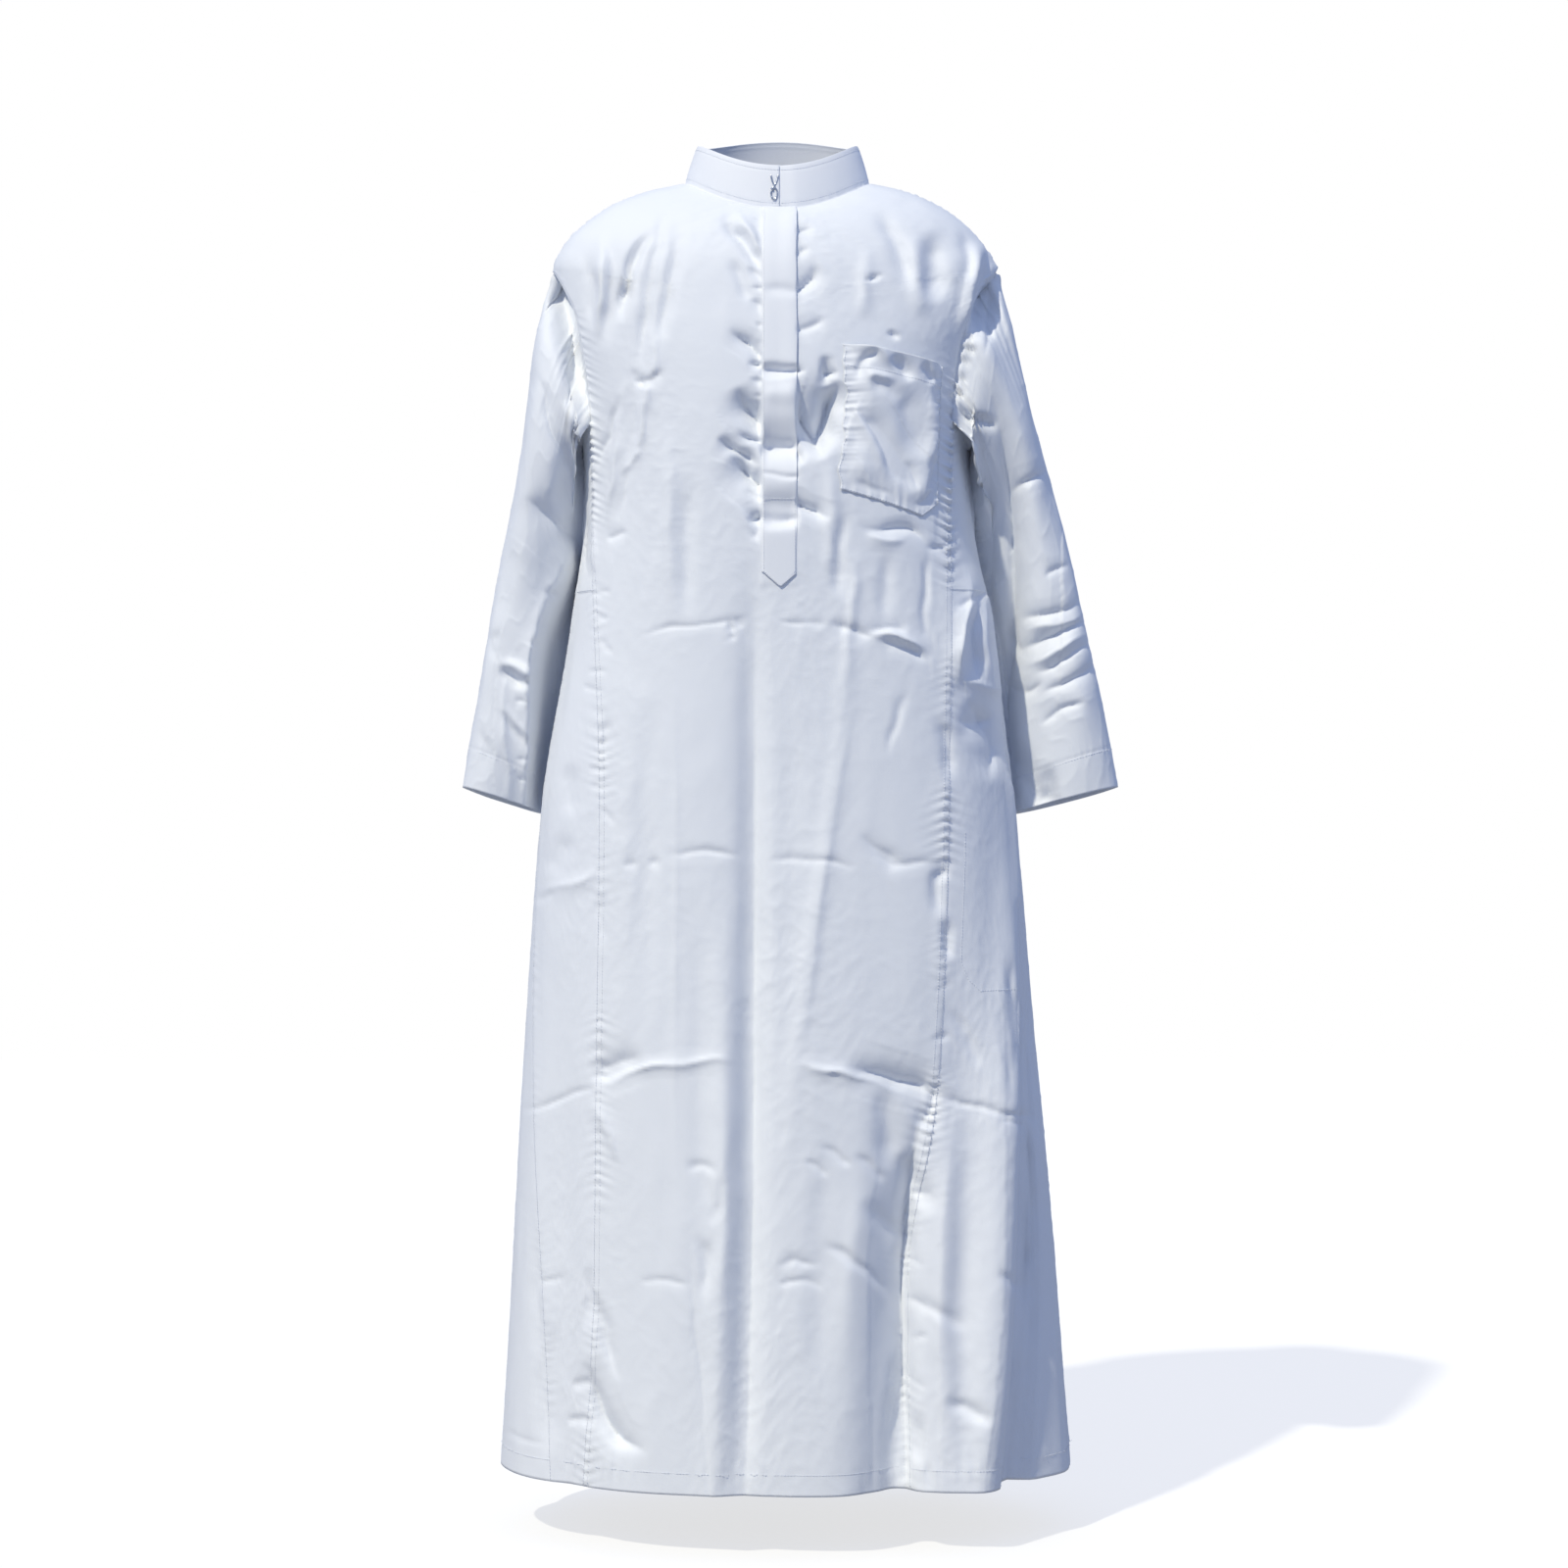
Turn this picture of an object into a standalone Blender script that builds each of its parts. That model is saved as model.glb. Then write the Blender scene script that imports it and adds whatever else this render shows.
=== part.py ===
"""A long white collared robe (thobe), hollow and in the pose it takes when worn.

Metres, +Z up, front towards -Y, wearer's left at +X.  The origin is the middle of the neck
seam at the height of the two points where collar and shoulder seams meet.
Every cloth piece is a wall laid on one shared garment surface, so that seams match.
"""

import math

import bmesh
import bpy
import numpy as np
from mathutils import Vector
from mathutils.bvhtree import BVHTree

for old in list(bpy.data.objects):
    bpy.data.objects.remove(old, do_unlink=True)

# ------------------------------------------------------------------ driving sizes
WALL = 0.0012  # thickness of every cloth wall
GAP = 0.0003  # clearance between two pieces that are sewn together
TIP_DOWN = 0.188  # seam length from the neck to the tip of the shoulder
UNDERARM_DOWN = 0.362  # the same measure, to the underarm
GUSSET_CLEAR = 0.0012  # room for the sleeve's wall where it turns under the arm
GORE_DOWN = 0.548  # to the foot of the underarm gusset, where the gores start
SKIRT_DOWN = 0.650  # where the solids of the front and back are parted into body and skirt
HEM_DOWN = 1.522  # the same measure, to the hem (1.432 m below the neck point)

# Rings of the body.  down: distance along the side from the neck seam; z: height at the side;
# right, left: half widths; front, back: depths; square: 0 for an ellipse, 0.06 for a boxy ring.
SECTION_COLUMNS = ("down", "z", "right", "left", "front", "back", "square")
SECTIONS = (
    (0.000, 0.000, 0.1055, 0.1000, 0.070, 0.068, 0.000),
    (0.040, -0.008, 0.1440, 0.1360, 0.084, 0.083, 0.000),
    (0.085, -0.023, 0.1850, 0.1730, 0.097, 0.098, 0.005),
    (0.120, -0.042, 0.2140, 0.2020, 0.106, 0.108, 0.010),
    (0.155, -0.067, 0.2400, 0.2260, 0.114, 0.116, 0.010),
    (0.188, -0.098, 0.2540, 0.2430, 0.120, 0.121, 0.010),
    (0.240, -0.150, 0.2480, 0.2350, 0.128, 0.125, 0.015),
    (0.295, -0.205, 0.2360, 0.2170, 0.134, 0.126, 0.020),
    (0.362, -0.272, 0.2230, 0.2080, 0.139, 0.124, 0.025),
    (0.440, -0.350, 0.2180, 0.2120, 0.142, 0.121, 0.030),
    (0.590, -0.500, 0.2350, 0.2380, 0.146, 0.122, 0.030),
    (0.790, -0.700, 0.2680, 0.2630, 0.155, 0.136, 0.025),
    (1.090, -1.000, 0.2885, 0.2885, 0.172, 0.160, 0.015),
    (1.390, -1.300, 0.3050, 0.3145, 0.186, 0.182, 0.005),
    (1.522, -1.432, 0.3125, 0.3250, 0.190, 0.190, 0.000),
)

# How far each ring dips at centre front and rises at centre back, against its height at the side.
TILT_COLUMNS = ("down", "front", "back")
TILTS = (
    (0.000, -0.039, 0.015),
    (0.085, -0.042, 0.004),
    (0.188, -0.037, -0.006),
    (0.295, -0.020, -0.008),
    (0.440, 0.000, 0.000),
    (1.522, 0.000, 0.000),
)

# Where the four long seams cross each ring: distance of the seam from the centre plane.
SEAM_COLUMNS = ("down", "front_right", "front_left", "back_right", "back_left")
SEAMS = (
    (0.188, 0.2540, 0.2430, 0.2540, 0.2430),
    (0.205, 0.2430, 0.2270, 0.2460, 0.2300),
    (0.240, 0.2260, 0.2080, 0.2310, 0.2120),
    (0.295, 0.2160, 0.1960, 0.2190, 0.1990),
    (0.362, 0.2090, 0.1890, 0.2080, 0.1910),
    (0.520, 0.2040, 0.1840, 0.2000, 0.1880),
    (0.790, 0.1930, 0.1800, 0.1930, 0.1860),
    (1.090, 0.1960, 0.1670, 0.1950, 0.1880),
    (1.300, 0.1980, 0.1380, 0.2000, 0.1920),
    (1.522, 0.2120, 0.1390, 0.2060, 0.1980),
)

# Where the side seams cross each ring, degrees round from centre front.  They swing forward
# towards the hem, because the back gores are cut wider than the front ones.
SIDE_SEAM_COLUMNS = ("down", "right", "left")
SIDE_SEAMS = (
    (0.362, -80.0, 80.0),
    (0.800, -78.0, 76.0),
    (0.920, -75.0, 69.0),
    (1.090, -68.0, 63.0),
    (1.225, -62.0, 59.5),
    (1.365, -57.0, 53.5),
    (1.522, -53.0, 45.0),
)

# Largest folds that run down the cloth: angle round the body at the waist and at the hem,
# half width, depth (negative goes in), and the two levels between which the fold grows.
FOLD_COLUMNS = ("waist_deg", "hem_deg", "wide_deg", "depth", "starts", "full")
FOLDS = (
    (-6.0, -6.0, 7.0, -0.006, 0.45, 0.90),
    (28.0, 21.0, 6.0, -0.020, 0.95, 1.45),
    (70.0, 41.0, 9.0, 0.018, 0.75, 1.15),
    (74.0, 50.5, 4.5, -0.024, 0.85, 1.20),
    (-58.0, -48.0, 7.0, -0.008, 0.80, 1.35),
    (50.0, 36.0, 7.0, 0.006, 0.70, 1.20),
    (84.0, 72.0, 8.0, 0.006, 0.90, 1.40),
    (112.0, 116.0, 9.0, -0.012, 0.55, 1.30),
    (136.0, 139.0, 9.0, 0.012, 0.50, 1.25),
    (160.0, 162.0, 9.0, -0.014, 0.55, 1.30),
    (-176.0, -176.0, 10.0, 0.012, 0.45, 1.25),
    (-152.0, -154.0, 9.0, -0.013, 0.55, 1.35),
    (-128.0, -131.0, 9.0, 0.011, 0.50, 1.25),
    (-104.0, -106.0, 7.0, -0.010, 0.60, 1.30),
)

# Sleeves, armhole to cuff.  outer_x, outer_z: the line down the outside of the arm;
# inner_x, inner_y, inner_z: the line down the inside, which lies behind the body's side;
# front, back: depths of the ring between them.
SLEEVE_COLUMNS = ("along", "outer_x", "outer_z", "inner_x", "inner_y", "inner_z", "front", "back")
SLEEVE_RIGHT = (
    (0.00, 0.2540, -0.098, 0.2230, 0.000, -0.272, 0.085, 0.085),
    (0.07, 0.2650, -0.135, 0.2360, 0.000, -0.297, 0.087, 0.087),
    (0.20, 0.2790, -0.205, 0.2300, 0.022, -0.350, 0.083, 0.085),
    (0.40, 0.2965, -0.330, 0.2240, 0.046, -0.435, 0.073, 0.077),
    (0.60, 0.3175, -0.450, 0.2380, 0.054, -0.525, 0.064, 0.066),
    (0.80, 0.3380, -0.565, 0.2540, 0.050, -0.615, 0.057, 0.058),
    (1.00, 0.3570, -0.677, 0.2680, 0.044, -0.707, 0.052, 0.053),
)
SLEEVE_LEFT = (
    (0.00, 0.2430, -0.098, 0.2080, 0.000, -0.272, 0.085, 0.085),
    (0.07, 0.2540, -0.135, 0.2290, 0.000, -0.297, 0.087, 0.087),
    (0.20, 0.2700, -0.205, 0.2290, 0.026, -0.350, 0.084, 0.085),
    (0.40, 0.3010, -0.330, 0.2300, 0.052, -0.435, 0.075, 0.076),
    (0.60, 0.3330, -0.450, 0.2420, 0.056, -0.525, 0.068, 0.067),
    (0.80, 0.3590, -0.565, 0.2540, 0.052, -0.615, 0.062, 0.060),
    (1.00, 0.3790, -0.677, 0.2650, 0.046, -0.707, 0.057, 0.055),
)
SLEEVE_SHIFT_BACK = 0.008  # the outside of the arm, behind the centre plane at the cuff
CUFF_TILT = 0.004  # the cuff's front edge is lifted this much, its back edge dropped
ARMHOLE_FADE = 0.35  # share of the sleeve over which the armhole's own outline dies away
SLEEVE_GAP = 0.0007  # the sleeve's seam edge stands this far inside the armhole

# Collar: its top ring, against the neck ring, and the lap of its two front ends.
COLLAR_TOP_RIGHT = 0.0925
COLLAR_TOP_LEFT = 0.0870
COLLAR_TOP_FRONT = 0.061
COLLAR_TOP_BACK = 0.064
COLLAR_TOP_Z_SIDE = 0.042
COLLAR_TOP_Z_FRONT = 0.010
COLLAR_TOP_Z_BACK = 0.060
COLLAR_LIFT = 0.0005  # clearance of the collar's lower edge over the neck seam
COLLAR_OVER_END_DEG = -0.5  # the upper end stops here, beside centre front
COLLAR_LAP_DEG = 18.0  # how far the under end runs on beneath it
LAP_STEP_DEG = 12.0  # the under end sinks over this angle

# Placket and chest pocket, both laid on the front panel.
PLACKET_RIGHT = -0.0192
PLACKET_LEFT = 0.0181
PLACKET_TIP_X = 0.001
PLACKET_TOP_DOWN = 0.0015
PLACKET_SHOULDER_DOWN = 0.535
PLACKET_TIP_DOWN = 0.551
LAID_ON = 0.0008  # clearance under a piece that is stitched on a panel
POCKET_TOP_DOWN = (0.263, 0.299)  # inner and outer end of the open top edge
POCKET_FOOT_DOWN = (0.445, 0.472, 0.457)  # inner end, point and outer end of the foot
# The pocket's own columns at its top and at its foot, counted along those of the front panel.
POCKET_TOP_COLUMNS = (11.5, 12, 13, 14, 15, 16, 16.6)
POCKET_FOOT_COLUMNS = (12, 12.5, 13, 14, 15, 16, 17)

# Side pocket bag inside the left-hand front gore.
BAG_TOP_DOWN = 0.815
BAG_LOW_DOWN = 0.940
BAG_CORNER_DOWN = (0.955, 0.975, 0.990)  # levels of the rounded lower corner
BAG_CORNER_SHARE = (0.16, 0.24, 0.40)  # where the bag's inner edge is there, across the gore
BAG_OUTER_SHARE = 0.96  # its outer edge, just inside the side seam

# Metal collar fastener.
WIRE = 0.0008  # radius of its wire
FASTENER_DEG = -3.6
FASTENER_CLEAR = 0.0014  # from the collar's face to the wire's middle line
EYE_WIDE = 0.0034  # half width of the drop-shaped eye
EYE_TALL = 0.0066
EYE_UP = 0.31  # height of the eye's middle, as a share of the collar
HOOK_WIDE = 0.0038
HOOK_TALL = 0.0100
HOOK_FOOT_UP = 0.53

CLOTH_WHITE = (0.80, 0.84, 0.91)
STEEL_GREY = (0.55, 0.58, 0.62)


# ------------------------------------------------------------------ shapes from the tables
def smooth(at, knots, values):
    """Cubic curve through (knots, values) whose slopes never overshoot the points."""
    knots = np.asarray(knots, float)
    values = np.asarray(values, float)
    step = np.diff(knots)
    slope = np.diff(values) / step
    inner = np.where(
        slope[:-1] * slope[1:] > 0,
        2 * slope[:-1] * slope[1:] / np.where(slope[:-1] + slope[1:] == 0, 1, slope[:-1] + slope[1:]),
        0,
    )
    tangent = np.concatenate(([slope[0]], inner, [slope[-1]]))
    at = np.clip(at, knots[0], knots[-1])
    k = np.clip(np.searchsorted(knots, at, side="right") - 1, 0, len(step) - 1)
    t = (at - knots[k]) / step[k]
    return (
        values[k] * (1 + 2 * t) * (1 - t) ** 2
        + step[k] * tangent[k] * t * (1 - t) ** 2
        + values[k + 1] * t * t * (3 - 2 * t)
        + step[k] * tangent[k + 1] * t * t * (t - 1)
    )


def read(columns, rows, at):
    """Every column of a table, at the places given in its first column."""
    numbers = np.array(rows)
    return {
        name: smooth(at, numbers[:, 0], numbers[:, i])
        for i, name in enumerate(columns)
        if i > 0
    }


def ease(t):
    """0 before 0, 1 after 1, and smooth between."""
    t = np.clip(t, 0, 1)
    return t * t * (3 - 2 * t)


def ring_unit(angle, square):
    """Sideways and forward reach of a ring of unit size: an ellipse squared up by its third harmonic."""
    across = (np.sin(angle) + square * np.sin(3 * angle)) / (1 - square)
    forward = (np.cos(angle) - square * np.cos(3 * angle)) / (1 - square)
    return across, forward


def torso(angle, down):
    """The body's surface: the point at an angle round from centre front, at a level down the side."""
    angle, down = np.broadcast_arrays(np.asarray(angle, float), np.asarray(down, float))
    angle = (angle + math.pi) % (2 * math.pi) - math.pi
    size = read(SECTION_COLUMNS, SECTIONS, down)
    tilt = read(TILT_COLUMNS, TILTS, down)
    across, forward = ring_unit(angle, size["square"])
    half = np.where(angle < 0, size["right"], size["left"])
    depth = np.where(forward > 0, size["front"], size["back"])
    dip = np.where(forward > 0, tilt["front"], tilt["back"])
    out_x = across / half
    out_y = -forward / depth
    length = np.hypot(out_x, out_y)
    push = folds(np.degrees(angle), down) / length
    x = half * across + push * out_x
    y = -depth * forward + push * out_y
    z = size["z"] + dip * np.cos(angle) ** 2
    return np.stack([x, y, z], axis=-1)


def folds(degrees, down):
    """How far the large folds move the cloth out (or in) at each place."""
    total = np.zeros_like(down)
    for waist, hem, wide, depth, starts, full in FOLDS:
        middle = waist + (hem - waist) * np.clip((down - starts) / (HEM_DOWN - starts), 0, 1)
        away = (degrees - middle + 180) % 360 - 180
        total = total + depth * np.exp(-((away / wide) ** 2)) * ease((down - starts) / (full - starts))
    return total


def angle_at(x, down):
    """The angle on the front half at which a ring passes the distance x from the centre plane."""
    x, down = np.broadcast_arrays(np.asarray(x, float), np.asarray(down, float))
    size = read(SECTION_COLUMNS, SECTIONS, down)
    share = np.clip(np.abs(x) / np.where(x < 0, size["right"], size["left"]), 0, 1)
    low = np.zeros_like(share)
    high = np.full_like(share, math.pi / 2)
    for _ in range(40):
        middle = (low + high) / 2
        short = ring_unit(middle, size["square"])[0] < share
        low = np.where(short, middle, low)
        high = np.where(short, high, middle)
    return np.sign(x) * (low + high) / 2


def seam_angles(down):
    """Angles of the four long seams at each level; above the shoulder tip they are the shoulder seam."""
    line = read(SEAM_COLUMNS, SEAMS, np.maximum(down, TIP_DOWN))
    on_body = down > TIP_DOWN
    front_right = np.where(on_body, angle_at(-line["front_right"], down), -math.pi / 2)
    front_left = np.where(on_body, angle_at(line["front_left"], down), math.pi / 2)
    back_right = np.where(on_body, -math.pi - angle_at(-line["back_right"], down), -math.pi / 2)
    back_left = np.where(on_body, math.pi - angle_at(line["back_left"], down), math.pi / 2)
    return front_right, front_left, back_right, back_left


def torso_out(angle, down, step=1e-4):
    """Unit normals of the body's surface, pointing away from the wearer."""
    down = np.clip(down, 5 * step, HEM_DOWN - 5 * step)
    across = torso(angle + step, down) - torso(angle - step, down)
    falling = torso(angle, down + step) - torso(angle, down - step)
    normal = np.cross(falling, across)
    return normal / np.linalg.norm(normal, axis=-1, keepdims=True)


# ------------------------------------------------------------------ meshes and materials
def material(name, colour, roughness, metallic):
    """A plain Principled BSDF material."""
    made = bpy.data.materials.new(name)
    made.use_nodes = True
    shader = made.node_tree.nodes["Principled BSDF"]
    shader.inputs["Base Color"].default_value = (*colour, 1)
    shader.inputs["Roughness"].default_value = roughness
    shader.inputs["Metallic"].default_value = metallic
    return made


def cloth(name):
    """White cotton and polyester poplin, for one piece."""
    return material(name + "_cloth", CLOTH_WHITE, 0.55, 0.0)


def steel(name):
    """Bright bare wire, for one piece."""
    return material(name + "_steel", STEEL_GREY, 0.28, 1.0)


def solid(name, outer, inner, tube=False):
    """A closed wall between two grids of points.  A tube's last column joins its first."""
    rows, columns = outer.shape[:2]
    points = np.concatenate([outer.reshape(-1, 3), inner.reshape(-1, 3)])
    index = np.arange(rows * columns).reshape(rows, columns)
    if tube:
        index = np.concatenate([index, index[:, :1]], axis=1)
    corners = (index[:-1, :-1], index[:-1, 1:], index[1:, 1:], index[1:, :-1])
    a, b, c, d = [corner.ravel() for corner in corners]
    falling = np.linalg.norm(points[a] - points[c], axis=1)
    rising = np.linalg.norm(points[b] - points[d], axis=1)
    short = (falling < rising)[:, None]
    first = np.where(short, np.stack([a, b, c], -1), np.stack([a, b, d], -1))
    second = np.where(short, np.stack([a, c, d], -1), np.stack([b, c, d], -1))
    skin = np.concatenate([first, second])
    rims = [index[0], index[-1][::-1]]
    if not tube:
        rims += [index[::-1, 0], index[:, -1]]
    count = rows * columns
    edges = np.concatenate([np.stack([rim[:-1], rim[1:]], -1) for rim in rims])
    rim_faces = np.concatenate(
        [
            np.stack([edges[:, 1], edges[:, 0], edges[:, 0] + count], -1),
            np.stack([edges[:, 1], edges[:, 0] + count, edges[:, 1] + count], -1),
        ]
    )
    faces = np.concatenate([skin, skin[:, ::-1] + count, rim_faces])
    mesh = bpy.data.meshes.new(name)
    mesh.from_pydata(points.tolist(), [], faces.tolist())
    work = bmesh.new()
    work.from_mesh(mesh)
    bmesh.ops.recalc_face_normals(work, faces=work.faces)
    work.to_mesh(mesh)
    work.free()
    mesh.shade_smooth()
    mesh.set_sharp_from_angle(angle=math.radians(50))
    mesh.materials.append(cloth(name))
    made = bpy.data.objects.new(name, mesh)
    bpy.context.scene.collection.objects.link(made)
    return made


def levels(*marks):
    """Row levels: marks are (level, rows up to the next mark), and a last bare level."""
    made = []
    for (start, count), (end, _) in zip(marks[:-1], marks[1:]):
        made += list(np.linspace(start, end, count, endpoint=False))
    return np.array(made + [marks[-1][0]])


YOKE_ROWS = levels((0.0, 6), (TIP_DOWN, 0))
ARMHOLE_ROWS = TIP_DOWN + (UNDERARM_DOWN - TIP_DOWN) * np.linspace(0, 1, 9) ** 1.7
GUSSET_ROWS = levels((UNDERARM_DOWN, 3), (GORE_DOWN, 0))
GORE_ROWS = levels((GORE_DOWN, 1), (SKIRT_DOWN, 3), (0.95, 6), (HEM_DOWN, 0))
PANEL_ROWS = np.concatenate([YOKE_ROWS[:-1], ARMHOLE_ROWS[:-1], GUSSET_ROWS[:-1], GORE_ROWS])
FRONT_COLUMNS = 19
BACK_COLUMNS = 16
FRONT_GORE_SHARES = (0, 0.22, 0.44, 0.64, 0.83, 1)  # columns from the front seam to the side seam
BACK_GORE_SHARES = (0, 0.12, 0.25, 0.46, 0.73, 1)  # columns from the side seam to the back seam


def between(first, last, shares):
    """Angles of a piece: one row for each level, its columns at shares of the way across."""
    return first[:, None] + (last - first)[:, None] * np.asarray(shares)[None, :]


def seam_step(angle, down):
    """The angle that moves a point by half a gap round the body."""
    moved = torso(angle + 0.001, down) - torso(angle - 0.001, down)
    return 0.002 * GAP / 2 / np.linalg.norm(moved, axis=-1)


def body_piece(name, rows, angle):
    """A panel of the body, stopping half a gap short of the seam at each side."""
    down = np.broadcast_to(rows[:, None], angle.shape)
    angle = angle.copy()
    angle[:, 0] += seam_step(angle[:, 0], rows)
    angle[:, -1] -= seam_step(angle[:, -1], rows)
    outer = torso(angle, down)
    return solid(name, outer, outer - WALL * torso_out(angle, down))


# ------------------------------------------------------------------ front and back panels
def panels():
    """The straight front and back, each one cloth from the neck and shoulders down to the hem.

    Each is two solids, parted below the waist, so that both stay simple shells.
    """
    body = PANEL_ROWS[PANEL_ROWS <= SKIRT_DOWN].copy()
    skirt = PANEL_ROWS[PANEL_ROWS >= SKIRT_DOWN].copy()
    body[-1] -= GAP / 2
    skirt[0] += GAP / 2
    for ending, rows in (("", body), ("_skirt", skirt)):
        front_right, front_left, back_right, back_left = seam_angles(rows)
        shares = np.linspace(0, 1, FRONT_COLUMNS)
        body_piece("front_panel" + ending, rows, between(front_right, front_left, shares))
        shares = np.linspace(0, 1, BACK_COLUMNS)
        body_piece("back_panel" + ending, rows, between(back_left, back_right + 2 * math.pi, shares))


# ------------------------------------------------------------------ side gores and gussets
def side_angles(side, rows):
    """Column angles of one side of the body: from front seam to side seam, and on to back seam."""
    front_right, front_left, back_right, back_left = seam_angles(rows)
    front, back = (front_right, back_right) if side < 0 else (front_left, back_left)
    lines = read(SIDE_SEAM_COLUMNS, SIDE_SEAMS, rows)
    seam = np.radians(lines["right"] if side < 0 else lines["left"])
    return between(front, seam, FRONT_GORE_SHARES), between(seam, back, BACK_GORE_SHARES)


def side_pieces(word, side):
    """One side under the arm: a gusset, and below it a front and a back gore that widen the skirt."""
    rows = GORE_ROWS.copy()
    rows[0] += GAP / 2
    front, back = side_angles(side, rows)
    body_piece("gore_front_" + word, rows, front[:, ::side])
    body_piece("gore_back_" + word, rows, back[:, ::side])
    rows = GUSSET_ROWS.copy()
    rows[0] += GUSSET_CLEAR
    rows[-1] -= GAP / 2
    front, back = side_angles(side, rows)
    body_piece("gusset_" + word, rows, np.hstack([front, back[:, 1:]])[:, ::side])


# ------------------------------------------------------------------ sleeves
def armhole(side):
    """The armhole's outline as angles and levels: tip, down the front, under the arm, up the back."""
    front_right, front_left, back_right, back_left = seam_angles(ARMHOLE_ROWS)
    front, back = (front_right, back_right) if side < 0 else (front_left, back_left)
    to_seam, to_back = side_angles(side, np.array([UNDERARM_DOWN]))
    under = np.concatenate([to_seam[0, 1:], to_back[0, 1:-1]])
    angle = np.concatenate([front, under, back[:0:-1]])
    down = np.concatenate([ARMHOLE_ROWS, np.full(len(under), UNDERARM_DOWN), ARMHOLE_ROWS[:0:-1]])
    return angle, down


def sleeve_rings(side, table, loop, around, along):
    """Ellipses carried from the armhole to the cuff, which start as the armhole's own outline."""
    size = read(SLEEVE_COLUMNS, table, along)
    zero = np.zeros_like(along)
    outer = np.stack([side * size["outer_x"], SLEEVE_SHIFT_BACK * along, size["outer_z"]], -1)
    inner = np.stack([side * size["inner_x"], size["inner_y"], size["inner_z"]], -1)
    cosine = np.cos(around)[None, :, None]
    sine = np.sin(around)[None, :, None]
    tilt = CUFF_TILT * along
    forward = np.stack([zero, -size["front"], tilt], -1)[:, None]
    backward = np.stack([zero, size["back"], -tilt], -1)[:, None]
    rings = (outer + inner)[:, None] / 2 + (outer - inner)[:, None] / 2 * cosine
    rings = rings + np.where(sine > 0, forward * sine, -backward * sine)
    fade = 1 - ease(along / ARMHOLE_FADE)[:, None, None]
    return rings + fade * (loop[None] - rings[:1])


def sleeve(name, side, table):
    """A sleeve: a tube sewn round the armhole, narrowing to an open cuff."""
    angle, down = armhole(side)
    loop = torso(angle, down)
    body_out = torso_out(angle, down)
    steps = np.linalg.norm(np.diff(np.vstack([loop, loop[:1]]), axis=0), axis=1)
    around = 2 * math.pi * np.concatenate([[0], np.cumsum(steps)[:-1]]) / steps.sum()
    along = np.concatenate([[0.0, 0.03, 0.07], np.linspace(0.14, 1.0, 10)])
    rings = sleeve_rings(side, table, loop, around, along)
    next_rings = sleeve_rings(side, table, loop, around, along + 1e-3)
    last_rings = sleeve_rings(side, table, loop, around, along - 1e-3)
    down_arm = next_rings - last_rings
    down_arm[0] = next_rings[0] - rings[0]
    down_arm[-1] = rings[-1] - last_rings[-1]
    round_arm = np.roll(rings, -1, axis=1) - np.roll(rings, 1, axis=1)
    out = np.cross(round_arm, down_arm) * side
    out /= np.linalg.norm(out, axis=-1, keepdims=True)
    # The first ring steps off the armhole by one gap and never leans back into the body.
    hole = torso(side * math.pi / 2, (TIP_DOWN + UNDERARM_DOWN) / 2)
    run = np.roll(loop, -1, axis=0) - np.roll(loop, 1, axis=0)
    run /= np.linalg.norm(run, axis=-1, keepdims=True)
    away = hole - loop
    for unit in (body_out, run):
        away = away - (away * unit).sum(-1, keepdims=True) * unit
    away /= np.linalg.norm(away, axis=-1, keepdims=True)
    inward = -WALL * out
    lean = np.minimum((inward[0] * away).sum(-1, keepdims=True), 0)
    inward[0] -= lean * away
    rings[0] += SLEEVE_GAP * away
    return solid(name, rings, rings + inward, tube=True)


# ------------------------------------------------------------------ collar
def collar(angle, up, sink):
    """The collar's surface: from the neck ring (up 0) to its top ring (up 1), sunk by a lap."""
    base = torso(angle, np.zeros_like(angle))
    turned = (angle + math.pi) % (2 * math.pi) - math.pi
    across, forward = np.sin(turned), np.cos(turned)
    wide = np.where(across < 0, COLLAR_TOP_RIGHT, COLLAR_TOP_LEFT)
    deep = np.where(forward > 0, COLLAR_TOP_FRONT, COLLAR_TOP_BACK)
    rim = np.where(forward > 0, COLLAR_TOP_Z_FRONT, COLLAR_TOP_Z_BACK) - COLLAR_TOP_Z_SIDE
    top = np.stack([wide * across, -deep * forward, COLLAR_TOP_Z_SIDE + rim * forward**2], -1)
    point = base + (top - base) * up[..., None]
    point[..., 2] += COLLAR_LIFT
    flat = np.stack([across, -forward, np.zeros_like(across)], -1)
    return point - flat * sink[..., None]


def collar_sink(angle):
    """The under end runs one wall and one gap inside the upper end."""
    past = math.radians(COLLAR_OVER_END_DEG + LAP_STEP_DEG) - angle
    return (WALL + 1.5 * GAP) * ease(past / math.radians(LAP_STEP_DEG))


def collar_band():
    """A stiff standing band, its two ends lapped at centre front."""
    start = math.radians(COLLAR_OVER_END_DEG - COLLAR_LAP_DEG)
    end = math.radians(COLLAR_OVER_END_DEG) + 2 * math.pi
    lap = np.linspace(start, math.radians(COLLAR_OVER_END_DEG + LAP_STEP_DEG), 7)
    rest = np.linspace(lap[-1], end, 29)[1:]
    angle = np.concatenate([lap, rest])
    up = np.linspace(0, 1, 4)
    angle_grid, up_grid = np.meshgrid(angle, up)
    sink = collar_sink(angle_grid)
    outer = collar(angle_grid, up_grid, sink)
    thick = np.full_like(sink, WALL)
    return solid("collar_band", outer, collar(angle_grid, up_grid, sink + thick))


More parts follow.
